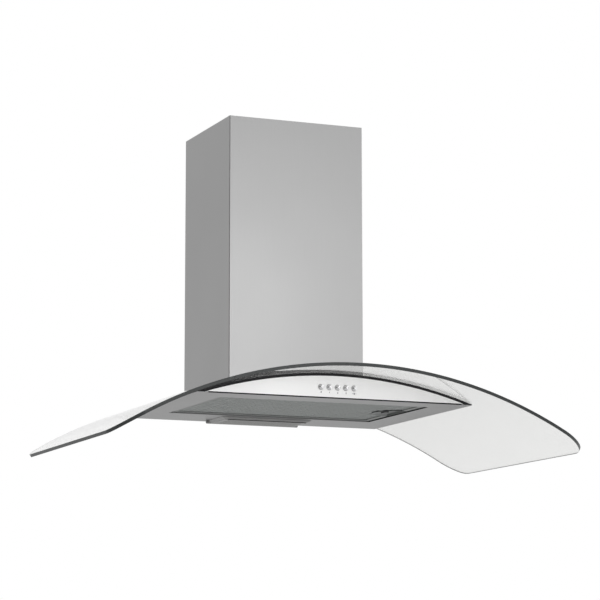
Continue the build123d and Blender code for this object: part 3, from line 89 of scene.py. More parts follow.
class HoodFinishes(bpy.types.PropertyGroup):
    """Colours of the hood's materials."""

    steel: colour("Satin steel", "Chimney sections", (0.50, 0.50, 0.50))
    # Pan steel is the chimney's steel painted darker: painted shade of the underside.
    pan: colour("Pan steel", "Underside of the body", (0.35, 0.35, 0.35))
    # Bright steel is the chimney's brushed steel painted much lighter: painted light on the fascia.
    fascia: colour("Bright steel", "Fascia with the buttons", (0.93, 0.93, 0.925))
    chrome: colour("Chrome", "Buttons and glass bolts", (0.88, 0.88, 0.89))
    zinc: colour("Zinc", "Galvanised sheet inside the hood", (0.55, 0.56, 0.57))
    fastener: colour("Fasteners", "Screws, nuts, shaft and pins", (0.58, 0.58, 0.56))
    filter_metal: colour("Filter aluminium", "Mesh of the grease filter", (0.55, 0.57, 0.56))
    filter_rim: colour("Filter rim", "Frame of the filter", (0.30, 0.31, 0.305))
    # The cup is the filter's aluminium painted darker than the rim: painted shade of its hollow.
    filter_cup: colour("Finger cup", "Finger cup of the filter", (0.17, 0.18, 0.175))
    black: colour("Black plastic", "Scroll, wheel and switch", (0.020, 0.020, 0.022))
    grey: colour("Grey plastic", "Collar, flaps and terminal box", (0.30, 0.31, 0.32))
    white: colour("White moulding", "Lampholders and capacitor", (0.78, 0.78, 0.75))
    # This black also paints the strips that are painted shade of the gaps round the filter, under
    # the fascia and along the lamp cover.
    seal: colour("Seal rubber", "Seals, sleeves and grommet", (0.012, 0.012, 0.013))
    # The cover's plastic is white; this grey is painted shade of the unlit cover.
    diffuser: colour("Lamp cover", "Translucent lamp cover", (0.27, 0.27, 0.265))
    board: colour("Circuit board", "Switch board", (0.02, 0.14, 0.06))
    cable: colour("Cable sleeve", "Wiring", (0.10, 0.10, 0.11))
    glass_tint: colour("Glass tint", "What the glass lets through over its depth",
                       (0.30, 0.36, 0.35))
    glass_clear: colour("Glass", "What the glass lets straight through", (0.93, 0.93, 0.92))
    glass_edge: colour("Glass edge", "Ground edge of the glass", (0.024, 0.028, 0.028))
    glass_density: plain_number(
        "Glass density", "How fast the glass darkens along its depth", 3.0
    )


class HoodSizes(bpy.types.PropertyGroup):
    """Sizes of the fine pieces."""

    glass_radius: length("Arch radius", "Top face of the glass", 834.0)
    glass_thick: length("Glass thickness", "Thickness of the canopy", 6.0)
    glass_front_corner: length("Front corner", "Radius of the front corners", 52.0)
    glass_rear_corner: length("Rear corner", "Radius of the rear corners", 45.0)
    glass_notch_gap: length("Notch gap", "Glass to the blower box", 4.0)
    glass_arris: length("Polished arris", "Width of the ground edge", 0.7)
    bolt_hole: length("Bolt hole", "Radius of the holes in the glass", 5.0)
    bolt_x: length("Bolt place", "Bolts to the left and right of the middle", 152.0)
    bolt_front_y: length("Front bolts", "Place of the front bolts", -272.0)
    bolt_rear_y: length("Rear bolts", "Place of the rear bolts", -70.0)
    fold_radius: length("Fold radius", "Rounding of the chimney's folds", 1.2)
    button_radius: length("Button radius", "Radius of a button", 5.0)
    button_dome: length("Button dome", "Height of the dome over its foot", 3.2)
    mesh_length: length("Mesh length", "Long way of a diamond", 9.0)
    mesh_width: length("Mesh width", "Short way of a diamond", 4.6)
    strand: length("Strand", "Width of a strand", 1.15)
    pan_level: length("Pan level", "Height of the body's underside", 0.0)
    filter_gap: length("Filter gap", "Filter to the edge of its opening", 2.0)
    # The black strips are painted shade of the gaps round the filter and under the fascia.
    strip: length("Strip", "Thickness of the black strips", 0.6)
    strip_height: length("Strip height", "Height of the strip round the filter", 1.7)
    strand_thick: length("Strand thickness", "Thickness of the mesh sheet", 0.25)
    recess_reach: length("Recess reach", "Arm of the cross in a screw head", 1.9)
    recess_half: length("Recess half width", "Half the width of an arm", 0.45)
    recess_depth: length("Recess depth", "Depth of the cross", 1.0)
    cover_half: length("Cover half width", "Half the width of the lamp cover's face", 81.0)
    rib_pitch: length("Rib pitch", "Ribs of the lamp cover, from one to the next", 2.0)
    rib_depth: length("Rib depth", "Height of a rib", 0.35)
    mark_height: length("Mark height", "Height of the marks under the buttons", 3.0)


class HoodStudio(bpy.types.PropertyGroup):
    """Camera, floor and light levels."""

    camera_place: FloatVectorProperty(
        name="Camera place", description="Place of the camera", default=(-1.7353, -4.3982, -0.5254),
        subtype="TRANSLATION", unit="LENGTH"
    )
    camera_turn: FloatProperty(
        name="Turn", description="Turn of the view to the right", default=radians(22.365),
        subtype="ANGLE"
    )
    camera_pitch: FloatProperty(
        name="Pitch", description="Upward tilt of the view", default=radians(9.208),
        subtype="ANGLE"
    )
    camera_lens: plain_number("Lens", "Focal length in millimetres", 147.95)
    camera_shift: FloatProperty(
        name="Shift", description="Sideways shift of the frame", default=0.025
    )
    floor_level: FloatProperty(
        name="Floor level", description="Height of the studio floor", default=-1.6, unit="LENGTH"
    )
    ambient: plain_number("Ambient", "Even light on dull surfaces", 0.75)
    front_glow: plain_number(
        "Front glow", "Brightness of the room in front, seen in metal", 0.56
    )
    backdrop_glow: plain_number(
        "Backdrop glow", "Brightness of the backdrop, seen along smooth faces", 0.95
    )
    rear_glow: plain_number("Rear glow", "Brightness of the room behind, seen in metal", 0.60)


# ---------------------------------------------------------------- shader groups


def feed(node, inputs):
    """Sets a node's inputs to numbers or colours, or links them to other nodes' outputs."""
    for key, value in inputs.items():
        if isinstance(value, bpy.types.NodeSocket):
            node.id_data.links.new(value, node.inputs[key])
        else:
            node.inputs[key].default_value = value


def add_node(tree, kind, inputs=None, **settings):
    """A new shader node with these settings and inputs."""
    node = tree.nodes.new("ShaderNode" + kind)
    for name, value in settings.items():
        setattr(node, name, value)
    feed(node, inputs or {})
    return node


def group(name, relief=True, **inputs):
    """A new shader group, whose inputs take their kinds from their defaults.

    Returns the tree, the sockets of its input node and its output node.
    """
    tree = bpy.data.node_groups.new(name, "ShaderNodeTree")
    kinds = {type(None): "NodeSocketVector", tuple: "NodeSocketColor", float: "NodeSocketFloat"}
    for label, default in {"Vector": None, **inputs}.items():
        kind = kinds[type(default)]
        socket = tree.interface.new_socket(label, in_out="INPUT", socket_type=kind)
        if default is not None:
            socket.default_value = default
    outputs = [("Colour", tuple), ("Roughness", float)] + relief * [("Height", float)]
    for label, kind in outputs:
        tree.interface.new_socket(label, in_out="OUTPUT", socket_type=kinds[kind])
    return tree, tree.nodes.new("NodeGroupInput").outputs, tree.nodes.new("NodeGroupOutput")


def math_node(tree, operation, first, second):
    """A Math node on two sockets or numbers. Returns its output."""
    return add_node(tree, "Math", {0: first, 1: second}, operation=operation).outputs[0]


def noise(tree, vector, scale, detail=3.0, rough=0.55):
    """A Noise texture read at a vector. Returns its value."""
    inputs = {"Vector": vector, "Scale": scale, "Detail": detail, "Roughness": rough}
    return add_node(tree, "TexNoise", inputs).outputs["Fac"]


def span(tree, value, low, high, start, end):
    """A smooth Map Range of a value. Returns its output."""
    inputs = {"Value": value, "From Min": low, "From Max": high, "To Min": start, "To Max": end}
    return add_node(tree, "MapRange", inputs, interpolation_type="SMOOTHSTEP").outputs["Result"]


def swing(tree, value, amount):
    """A value from 0 to 1 made to swing about zero by this amount in all."""
    return math_node(tree, "MULTIPLY", math_node(tree, "SUBTRACT", value, 0.5), amount)


def tone(tree, base, amount, value):
    """The base colour, lighter or darker by up to half the amount as value goes from 0 to 1."""
    factor = math_node(tree, "ADD", swing(tree, value, amount), 1.0)
    node = add_node(tree, "VectorMath", {0: base, "Scale": factor}, operation="SCALE")
    return node.outputs["Vector"]


def make_drawn_grain():
    """Long fine grain of drawn or brushed metal, with faint handling marks."""
    tree, given, result = group(
        "Drawn grain", Place=None, Colour=(0.6, 0.6, 0.6, 1.0), Grain=0.08, Roughness=0.35
    )
    fine = noise(tree, given["Vector"], 1.0, detail=4.0, rough=0.65)
    broad = noise(tree, given["Place"], 5.0, detail=2.0)
    uneven = math_node(tree, "ADD", swing(tree, fine, 0.10), swing(tree, broad, 0.08))
    feed(result, {
        "Colour": tone(tree, given["Colour"], given["Grain"], fine),
        "Roughness": math_node(tree, "ADD", given["Roughness"], uneven),
        "Height": fine,
    })
    return tree


def make_moulded_skin():
    """Fine pebbled skin of moulded plastic and rubber."""
    tree, given, result = group(
        "Moulded skin", Colour=(0.5, 0.5, 0.5, 1.0), Scale=1400.0, Roughness=0.5
    )
    cloud = noise(tree, given["Vector"], 22.0, detail=3.0)
    feed(result, {
        "Colour": tone(tree, given["Colour"], 0.18, cloud),
        "Roughness": math_node(tree, "ADD", given["Roughness"], swing(tree, cloud, 0.14)),
        "Height": noise(tree, given["Vector"], given["Scale"], detail=2.0, rough=0.5),
    })
    return tree


def make_zinc_spangle():
    """Flowery crystals of hot-dip galvanised sheet."""
    tree, given, result = group(
        "Zinc spangle", Colour=(0.5, 0.5, 0.5, 1.0), Scale=160.0, Contrast=0.25
    )
    crystal = add_node(tree, "TexVoronoi", {"Vector": given["Vector"], "Scale": given["Scale"]})
    split = add_node(tree, "SeparateColor", {"Color": crystal.outputs["Color"]})
    facet, gloss = split.outputs["Red"], split.outputs["Green"]
    feed(result, {
        "Colour": tone(tree, given["Colour"], given["Contrast"], facet),
        "Roughness": span(tree, gloss, 0.0, 1.0, 0.30, 0.48),
        "Height": crystal.outputs["Distance"],
    })
    return tree


def make_finger_film():
    """Barely visible wiped film on polished faces."""
    tree, given, result = group(
        "Finger film", relief=False, Colour=(0.9, 0.9, 0.9, 1.0), Clean=0.0, Film=0.05
    )
    wipe = noise(tree, given["Vector"], 9.0, detail=5.0, rough=0.6)
    smear = math_node(tree, "MULTIPLY", span(tree, wipe, 0.48, 0.72, 0.0, 1.0), given["Film"])
    feed(result, {
        "Colour": tone(tree, given["Colour"], 0.02, wipe),
        "Roughness": math_node(tree, "ADD", given["Clean"], smear),
    })
    return tree


# ---------------------------------------------------------------- materials


def start_material(name):
    """A new material. Returns its tree, its Principled shader and its Object coordinates."""
    material = bpy.data.materials.new(name)
    material.use_nodes = True
    tree = material.node_tree
    tree.nodes.clear()
    shader = add_node(tree, "BsdfPrincipled")
    add_node(tree, "OutputMaterial", {"Surface": shader.outputs["BSDF"]})
    return tree, shader, add_node(tree, "TexCoord").outputs["Object"]


def bump(shader, height, strength, distance):
    """A Bump node from a height into the shader's normal."""
    inputs = {"Height": height, "Strength": strength, "Distance": distance}
    node = add_node(shader.id_data, "Bump", inputs)
    feed(shader, {"Normal": node.outputs["Normal"]})


def grouped_material(name, group_tree, base, relief=None, stretch=None, **values):
    """A material whose colour, roughness and relief come from a group.

    The group reads Object coordinates, stretched where a stretch is given. The relief is
    the strength and the distance of a bump. Returns the shader.
    """
    tree, shader, place = start_material(name)
    values.update(Vector=place, Colour=(*base, 1.0))
    if stretch:
        mapping = add_node(tree, "Mapping", {"Vector": place, "Scale": stretch})
        values.update(Vector=mapping.outputs["Vector"], Place=place)
    node = add_node(tree, "Group", values, node_tree=group_tree)
    feed(shader, {"Base Color": node.outputs["Colour"], "Roughness": node.outputs["Roughness"]})
    if relief:
        bump(shader, node.outputs["Height"], *relief)
    return shader


def drawn_metal(name, group_tree, base, grain, roughness, stretch):
    """Brushed metal with its grain stretched along one axis."""
    shader = grouped_material(
        name, group_tree, base, (0.06, 0.0002), stretch, Grain=grain, Roughness=roughness
    )
    feed(shader, {"Metallic": 1.0})


def moulded(name, group_tree, base, roughness, scale=1400.0, relief=0.15, specular=0.5):
    """Plastic or rubber with its moulded skin."""
    shader = grouped_material(
        name, group_tree, base, (relief, 0.0001), Scale=scale, Roughness=roughness
    )
    feed(shader, {"Specular IOR Level": specular})


def spangled(name, group_tree, base, contrast, scale):
    """Galvanised sheet."""
    shader = grouped_material(
        name, group_tree, base, (0.04, 0.0002), Contrast=contrast, Scale=scale
    )
    feed(shader, {"Metallic": 1.0})


def polished(name, group_tree, base, clean, film):
    """Chrome or other polished metal with its wiped film."""
    feed(grouped_material(name, group_tree, base, Clean=clean, Film=film), {"Metallic": 1.0})


def mixed(tree, factor, first, second):
    """A Mix Shader of two shaders. Returns its output."""
    return add_node(tree, "MixShader", {0: factor, 1: first, 2: second}).outputs["Shader"]


def clear_glass(name, group_tree, base, tint, density):
    """Toughened glass, clear through its thickness and dark along its depth.

    Shadow rays pass it, so that lamps light what is behind it.
    """
    shader = grouped_material(name, group_tree, base, Clean=0.0, Film=0.012)
    feed(shader, {"Transmission Weight": 1.0, "IOR": 1.5})
    tree = shader.id_data
    depth = add_node(tree, "VolumeAbsorption", {"Color": (*tint, 1.0), "Density": density})
    shadow = add_node(tree, "LightPath").outputs["Is Shadow Ray"]
    clear = add_node(tree, "BsdfTransparent").outputs["BSDF"]
    feed(tree.nodes["Material Output"], {
        "Surface": mixed(tree, shadow, shader.outputs["BSDF"], clear),
        "Volume": depth.outputs["Volume"],
    })


def frosted_glass(name, group_tree, base):
    """Frosted lamp glass."""
    shader = grouped_material(
        name, group_tree, base, (0.1, 0.0001), Scale=2600.0, Roughness=0.45
    )
    feed(shader, {"Transmission Weight": 0.5})


def prismatic_cover(name, group_tree, base):
    """Lamp cover with a fine waviness between its ribs."""
    shader = grouped_material(name, group_tree, base, Scale=900.0, Roughness=0.30)
    tree = shader.id_data
    inputs = {"Vector": add_node(tree, "TexCoord").outputs["Object"], "Scale": 90.0}
    wave = add_node(tree, "TexWave", inputs, bands_direction="Y")
    bump(shader, wave.outputs["Fac"], 0.25, 0.0006)


def circuit_board(name, base):
    """Green board with its copper tracks."""
    tree, shader, place = start_material(name)
    turned = add_node(tree, "Mapping", {"Vector": place, "Rotation": (radians(90), 0, 0)})
    tracks = add_node(tree, "TexBrick", {
        "Vector": turned.outputs["Vector"], "Scale": 60.0, "Mortar Size": 0.03,
        "Color1": (*base, 1.0), "Color2": (base[0], base[1] * 1.3, base[2], 1.0),
        "Mortar": (0.05, 0.28, 0.12, 1.0),
    })
    feed(shader, {"Base Color": tracks.outputs["Color"], "Roughness": 0.3})


def printed_mark(name, base):
    """Screen-printed ink of the marks."""
    tree, shader, place = start_material(name)
    ink = noise(tree, place, 1500.0)
    shade = add_node(tree, "ValToRGB", {"Fac": ink})
    shade.color_ramp.elements[0].color = (*base, 1.0)
    shade.color_ramp.elements[1].color = (*(value * 1.3 for value in base), 1.0)
    rough = span(tree, ink, 0.2, 0.8, 0.45, 0.6)
    feed(shader, {"Base Color": shade.outputs["Color"], "Roughness": rough})


# ---------------------------------------------------------------- pieces


def finish_piece(bm, name, body, material, nodes=(), sharp=30.0, flat_over=1.0):
    """Writes the mesh to a new object that rides on a body and stands for these nodes.

    Faces larger than flat_over, in square metres, keep their own flat normal.
    """
    for face in bm.faces:
        face.smooth = face.calc_area() < flat_over
    for edge in bm.edges:
        edge.smooth = len(edge.link_faces) == 2 and edge.calc_face_angle(0.0) < radians(sharp)
    mesh = bpy.data.meshes.new(name)
    bm.to_mesh(mesh)
    bm.free()
    piece = bpy.data.objects.new(name, mesh)
    bpy.context.scene.collection.objects.link(piece)
    mesh.materials.append(bpy.data.materials[material])
    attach(piece, body)
    if nodes:
        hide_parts(*nodes)
    return piece


def merged_copy(node):
    """The solid of a node as one mesh, with its flat faces joined up."""
    bm = bmesh.new()
    bm.from_mesh(frame["nodes"][node].data)
    bmesh.ops.remove_doubles(bm, verts=bm.verts, dist=2e-6)
    bmesh.ops.dissolve_limit(
        bm, angle_limit=radians(0.3), use_dissolve_boundaries=False,
        verts=bm.verts, edges=bm.edges, delimit={"NORMAL"}
    )
    return bm


def soften(piece, width, segments=2, angle=40.0):
    """A live bevel on the piece's sharp edges."""
    modifier = piece.modifiers.new("Softened edges", "BEVEL")
    modifier.width = width
    modifier.segments = segments
    modifier.limit_method = "ANGLE"
    modifier.angle_limit = radians(angle)
    modifier.harden_normals = True


def push_out(bm, faces, way, keep=False):
    """Pushes faces out of the mesh this way, with walls round them."""
    solid = bmesh.ops.extrude_face_region(bm, geom=faces, use_keep_orig=keep)
    moved = [item for item in solid["geom"] if isinstance(item, bmesh.types.BMVert)]
    bmesh.ops.translate(bm, verts=moved, vec=way)


def flat_rectangle(bm, place, width, depth):
    """A rectangle of one face in the plane of a matrix. Returns the face."""
    grid = bmesh.ops.create_grid(
        bm, x_segments=1, y_segments=1, size=0.5,
        matrix=place @ Matrix.Diagonal((width, depth, 1, 1))
    )
    return grid["verts"][0].link_faces[0]


def rod(bm, y, z, radius, length_x, segments):
    """A closed round rod along X, middle at x = 0. Returns its corners."""
    return bmesh.ops.create_cone(
        bm, cap_ends=True, segments=segments, radius1=radius, radius2=radius, depth=length_x,
        matrix=Matrix.Translation((0, y, z)) @ Matrix.Rotation(pi / 2, 4, "Y")
    )["verts"]


def spin_profile(points, axis_point, axis, steps=56):
    """A closed turned solid from a profile whose two ends lie on the axis."""
    bm = bmesh.new()
    verts = [bm.verts.new(point) for point in points]
    edges = [bm.edges.new(pair) for pair in zip(verts, verts[1:])]
    bmesh.ops.spin(
        bm, geom=verts + edges, cent=axis_point, axis=axis, angle=2 * pi, steps=steps,
        use_merge=True, use_duplicate=False
    )
    bmesh.ops.remove_doubles(bm, verts=bm.verts, dist=1e-6)
    bmesh.ops.recalc_face_normals(bm, faces=bm.faces)
    return bm


class HOOD_OT_materials(bpy.types.Operator):
    """Make the hood's materials and put one on each node of the frame"""

    bl_idname = "hood.materials"
    bl_label = "Materials"

    def execute(self, context):
        look = context.scene.hood_finishes
        grain = make_drawn_grain()
        skin = make_moulded_skin()
        spangle = make_zinc_spangle()
        film = make_finger_film()
        for name, base, depth, roughness, stretch in (
            ("brushed_stainless", look.steel, 0.07, 0.36, (900, 900, 14)),
            # The pan's darker base is painted shade of the underside.
            ("pan", look.pan, 0.07, 0.36, (14, 900, 900)),
            # The fascia's lighter base is painted light on the same steel.
            ("fascia_stainless", look.fascia, 0.04, 0.44, (14, 900, 900)),
            ("filter_aluminium", look.filter_metal, 0.12, 0.42, (60, 500, 500)),
            ("filter_rim", look.filter_rim, 0.10, 0.45, (40, 500, 500)),
            # The cup's darker base is painted shade of its hollow.
            ("filter_cup", look.filter_cup, 0.10, 0.40, (60, 60, 60)),
            ("zinc_fastener", look.fastener, 0.10, 0.30, (400, 400, 400)),
            ("spring_steel", look.fastener, 0.10, 0.25, (900, 900, 900)),
        ):
            drawn_metal(name + "_finish", grain, base, depth, roughness, stretch)
        spangled("zinc_steel_finish", spangle, look.zinc, 0.28, 150.0)
        polished("bright_chrome_finish", film, look.chrome, 0.05, 0.05)
        clear_glass("clear_glass_finish", film, look.glass_clear, look.glass_tint,
                    look.glass_density)
        moulded("glass_edge_finish", skin, look.glass_edge, 0.28, scale=2400.0, relief=0.05)
        frosted_glass("bulb_glass_finish", skin, (0.95, 0.95, 0.92))
        # The same black rubber makes the strips and the rod that are painted shade of gaps.
        moulded("black_seal_finish", skin, look.seal, 0.55, scale=900.0, specular=0.3)
        moulded("black_plastic_finish", skin, look.black, 0.42)
        moulded("grey_plastic_finish", skin, look.grey, 0.45)
        moulded("white_plastic_finish", skin, look.white, 0.40)
        moulded("grey_cable_finish", skin, look.cable, 0.55, scale=500.0)
        # The grey base of the lamp cover is painted shade of the unlit cover.
        prismatic_cover("lamp_diffuser_finish", skin, look.diffuser)
        circuit_board("green_board_finish", look.board)
        printed_mark("mark_ink", (0.10, 0.10, 0.11))
        for part in frame["record"]["subparts"]:
            node = frame["nodes"][part["node"]]
            node.data.materials.clear()
            node.data.materials.append(bpy.data.materials[part["material_slot"] + "_finish"])
        # The body takes the darker pan steel, which is painted shade; the filter frame takes the
        # rim colour.
        for node, finish in (("hood_body", "pan_finish"), ("filter_frame", "filter_rim_finish")):
            frame["nodes"][node].data.materials[0] = bpy.data.materials[finish]
        return {"FINISHED"}


class HOOD_OT_glass(bpy.types.Operator):
    """Bend the clear canopy to its arch, with rounded corners and polished edges"""

    bl_idname = "hood.glass"
    bl_label = "Glass canopy"

    def execute(self, context):
        sizes = context.scene.hood_sizes
        notch_x = BOX_HIGH.x + sizes.glass_notch_gap
        notch_y = BOX_LOW.y - sizes.glass_notch_gap
        bm = bmesh.new()
        outline = [
            (GLASS_LOW.x, GLASS_LOW.y), (GLASS_HIGH.x, GLASS_LOW.y),
            (GLASS_HIGH.x, GLASS_HIGH.y), (notch_x, GLASS_HIGH.y), (notch_x, notch_y),
            (-notch_x, notch_y), (-notch_x, GLASS_HIGH.y), (GLASS_LOW.x, GLASS_HIGH.y),
        ]
        verts = [bm.verts.new((x, y, 0)) for x, y in outline]
        bm.faces.new(verts)
        for corners, radius in (
            (verts[:2], sizes.glass_front_corner), ((verts[2], verts[7]), sizes.glass_rear_corner)
        ):
            bmesh.ops.bevel(
                bm, geom=list(corners), offset=radius, offset_type="OFFSET", segments=14,
                profile=0.5, affect="VERTICES", material=-1
            )
        bmesh.ops.delete(bm, geom=bm.faces[:], context="FACES_ONLY")
        for x in (-sizes.bolt_x, sizes.bolt_x):
            for y in (sizes.bolt_front_y, sizes.bolt_rear_y):
                bmesh.ops.create_circle(
                    bm, segments=28, radius=sizes.bolt_hole, matrix=Matrix.Translation((x, y, 0))
                )
        bmesh.ops.triangle_fill(
            bm, use_beauty=True, use_dissolve=False, edges=bm.edges[:], normal=(0, 0, 1)
        )
        bmesh.ops.dissolve_limit(
            bm, angle_limit=radians(1), use_dissolve_boundaries=False,
            verts=bm.verts, edges=bm.edges
        )
        cut_step = 7.5 * MM
        cuts = int(GLASS_HIGH.x / cut_step)
        for number in range(-cuts, cuts + 1):
            bmesh.ops.bisect_plane(
                bm, geom=bm.verts[:] + bm.edges[:] + bm.faces[:], dist=1e-6,
                plane_co=(number * cut_step, 0, 0), plane_no=(1, 0, 0)
            )
        axis_z = GLASS_HIGH.z - sizes.glass_radius
        for vert in bm.verts:
            vert.co.z = axis_z + sqrt(sizes.glass_radius**2 - vert.co.x**2)
        bmesh.ops.recalc_face_normals(bm, faces=bm.faces)
        if sum(face.normal.z for face in bm.faces) < 0:
            bmesh.ops.reverse_faces(bm, faces=bm.faces)
        glass = finish_piece(bm, "glass_sheet", "hood", "clear_glass_finish", ["glass_canopy"])
        glass.data.materials.append(bpy.data.materials["glass_edge_finish"])
        shell = glass.modifiers.new("Thickness", "SOLIDIFY")
        shell.thickness = sizes.glass_thick
        shell.offset = -1.0
        shell.use_even_offset = True
        shell.material_offset_rim = 1
        soften(glass, sizes.glass_arris, segments=2, angle=55.0)
        return {"FINISHED"}


class HOOD_OT_chimney(bpy.types.Operator):
    """Round the folds of the two chimney sections"""

    bl_idname = "hood.chimney"
    bl_label = "Chimney"

    def execute(self, context):
        radius = context.scene.hood_sizes.fold_radius
        fold_length = 0.2
        for node, body, name in (
            ("chimney_cover", "hood", "chimney_lower_sheet"),
            ("chimney_upper", "chimney_section", "chimney_upper_sheet"),
        ):
            low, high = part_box(node)
            bm = merged_copy(node)
            folds = [
                edge for edge in bm.edges
                if edge.calc_length() > fold_length
                and abs(edge.verts[0].co.z - edge.verts[1].co.z) > 0.99 * edge.calc_length()
                and min(abs(edge.verts[0].co.x - low.x), abs(edge.verts[0].co.x - high.x)) < 1e-5
            ]
            if len(folds) < 4:
                raise RuntimeError(f"{node} has lost its folds")
            bmesh.ops.bevel(
                bm, geom=folds, offset=radius, offset_type="OFFSET", segments=4, profile=0.5,
                affect="EDGES", material=-1
            )
            piece = finish_piece(
                bm, name, body, "brushed_stainless_finish", [node], flat_over=0.002
            )
        return {"FINISHED"}


class HOOD_OT_buttons(bpy.types.Operator):
    """Turn the five domed buttons and print the marks under them"""

    bl_idname = "hood.buttons"
    bl_label = "Buttons and marks"

    def execute(self, context):
        sizes = context.scene.hood_sizes
        radius, dome = sizes.button_radius, sizes.button_dome
        ball = (radius**2 + dome**2) / (2 * dome)
        sweep = asin(radius / ball)
        arc = [sweep * step / 10 for step in range(10)]
        neck, collar = 2.5 * MM, 3.8 * MM
        skirt_y, back_y = -0.4222, -0.4215
        collar_front_y, collar_rear_y = -0.4112, -0.4100
        for node in BUTTONS:
            low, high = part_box(node)
            x, z = (low.x + high.x) / 2, (low.z + high.z) / 2
            points = [(ball * sin(angle), low.y + ball * (1 - cos(angle))) for angle in arc]
            foot = low.y + dome
            points += [
                (radius - 0.25 * MM, foot), (radius, foot + 0.3 * MM), (radius, skirt_y),
                (radius - 0.3 * MM, back_y), (neck, back_y), (neck, collar_front_y),
                (collar, collar_front_y), (neck, collar_rear_y), (neck, high.y), (0, high.y),
            ]
            bm = spin_profile([(x + r, y, z) for r, y in points], (x, 0, z), (0, 1, 0))
            body = "push_" + node
            piece = finish_piece(bm, node + "_cap", body, "bright_chrome_finish", [node])
        self.print_marks(sizes)
        return {"FINISHED"}

    def print_marks(self, sizes):
        """Plain numbers, and a small lamp sign under the last button."""
        ink, thicken = 0.00004, 0.00011
        upright = [
            Matrix.Translation((
                (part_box(node)[0].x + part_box(node)[1].x) / 2, FASCIA_LOW.y - 1.5 * ink, 10.5 * MM
            )) @ Matrix.Rotation(radians(90), 4, "X")
            for node in BUTTONS
        ]
        for number, place in enumerate(upright[:4]):
            text = bpy.data.curves.new(f"mark_{number}", "FONT")
            text.body = str(number)
            text.size = sizes.mark_height * 1.35
            text.align_x, text.align_y = "CENTER", "CENTER"
            text.extrude = ink
            text.offset = thicken
            shape = bpy.data.objects.new(f"mark_{number}_text", text)
            bpy.context.scene.collection.objects.link(shape)
            bpy.context.view_layer.update()
            mesh = bpy.data.meshes.new_from_object(
                shape.evaluated_get(bpy.context.evaluated_depsgraph_get())
            )
            bpy.data.objects.remove(shape)
            bpy.data.curves.remove(text)
            mesh.transform(place)
            mark = bpy.data.objects.new(f"mark_{number}", mesh)
            bpy.context.scene.collection.objects.link(mark)
            mesh.materials.clear()
            mesh.materials.append(bpy.data.materials["mark_ink"])
            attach(mark, "hood")
        bm = bmesh.new()
        bmesh.ops.create_circle(
            bm, segments=24, radius=0.9 * MM, cap_ends=True, matrix=upright[4]
        )
        for ray in range(8):
            turn = Matrix.Rotation(ray * pi / 4, 4, "Z")
            level_ray = ray % 4 == 0
            middle, long = (2.9 * MM, 3.0 * MM) if level_ray else (1.7 * MM, 0.8 * MM)
            place = upright[4] @ turn @ Matrix.Translation((middle, 0, 0))
            flat_rectangle(bm, place, long, 0.5 * MM)
        push_out(bm, bm.faces[:], (0, -ink, 0))
        bmesh.ops.recalc_face_normals(bm, faces=bm.faces)
        finish_piece(bm, "mark_lamp", "hood", "mark_ink")


class HOOD_OT_glass_bolts(bpy.types.Operator):
    """Soften the domed heads of the four glass bolts"""

    bl_idname = "hood.glass_bolts"
    bl_label = "Glass bolts"

    def execute(self, context):
        bm = merged_copy("glass_bolts")
        piece = finish_piece(bm, "glass_bolt_set", "hood", "bright_chrome_finish", ["glass_bolts"])
        soften(piece, 0.9 * MM, segments=3, angle=25.0)
        return {"FINISHED"}


class HOOD_OT_filter_mesh(bpy.types.Operator):
    """Lay the fine expanded mesh that shows under the grease filter"""

    bl_idname = "hood.filter_mesh"
    bl_label = "Filter mesh"

    def execute(self, context):
        sizes = context.scene.hood_sizes
        low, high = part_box("filter_mesh_lower")
        across, along = sizes.mesh_length, sizes.mesh_width
        thick = high.z - low.z
        level = low.z + thick * 0.3
        rim = 4.0 * MM
        width = high.x - low.x - 2 * rim
        depth = high.y - low.y - 2 * rim
        columns, rows = int(width / across), int(depth / along)
        pitch_x, pitch_y = width / columns, depth / rows
        cup = Vector((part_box("filter_frame")[1].x - 1.0 * MM, (low.y + high.y) / 2))
        cup_radius = 47.5 * MM
        bm = bmesh.new()
        for row in range(rows):
            for column in range(columns):
                x = low.x + rim + (column + 0.5) * pitch_x
                y = low.y + rim + (row + 0.5) * pitch_y
                if (Vector((x, y)) - cup).length < cup_radius + pitch_x / 2:
                    continue
                self.diamond(bm, x, y, level, pitch_x, pitch_y, sizes.strand, thick)
        bmesh.ops.recalc_face_normals(bm, faces=bm.faces)
        piece = finish_piece(
            bm, "filter_fine_mesh", "grease_filter", "filter_aluminium_finish",
            ["filter_mesh_lower"]
        )
        shell = piece.modifiers.new("Strand thickness", "SOLIDIFY")
        shell.thickness = sizes.strand_thick
        shell.offset = 0.0
        return {"FINISHED"}

    def diamond(self, bm, x, y, level, pitch_x, pitch_y, strand, thick):
        """One diamond: four flat strands tilted a little, as in expanded sheet."""
        overlap = 1.02
        edges = {}
        for z, width, depth in (
            (level, pitch_x * overlap, pitch_y * overlap),
            (level + thick * 0.3, pitch_x - 2.2 * strand, pitch_y - 1.2 * strand),
        ):
            place = Matrix.Translation((x, y, z)) @ Matrix.Diagonal((width, depth, 1, 1))
            ring = bmesh.ops.create_circle(bm, segments=4, radius=0.5, matrix=place)["verts"]
            edges.update((edge, None) for vert in ring for edge in vert.link_edges)
        bmesh.ops.bridge_loops(bm, edges=list(edges))


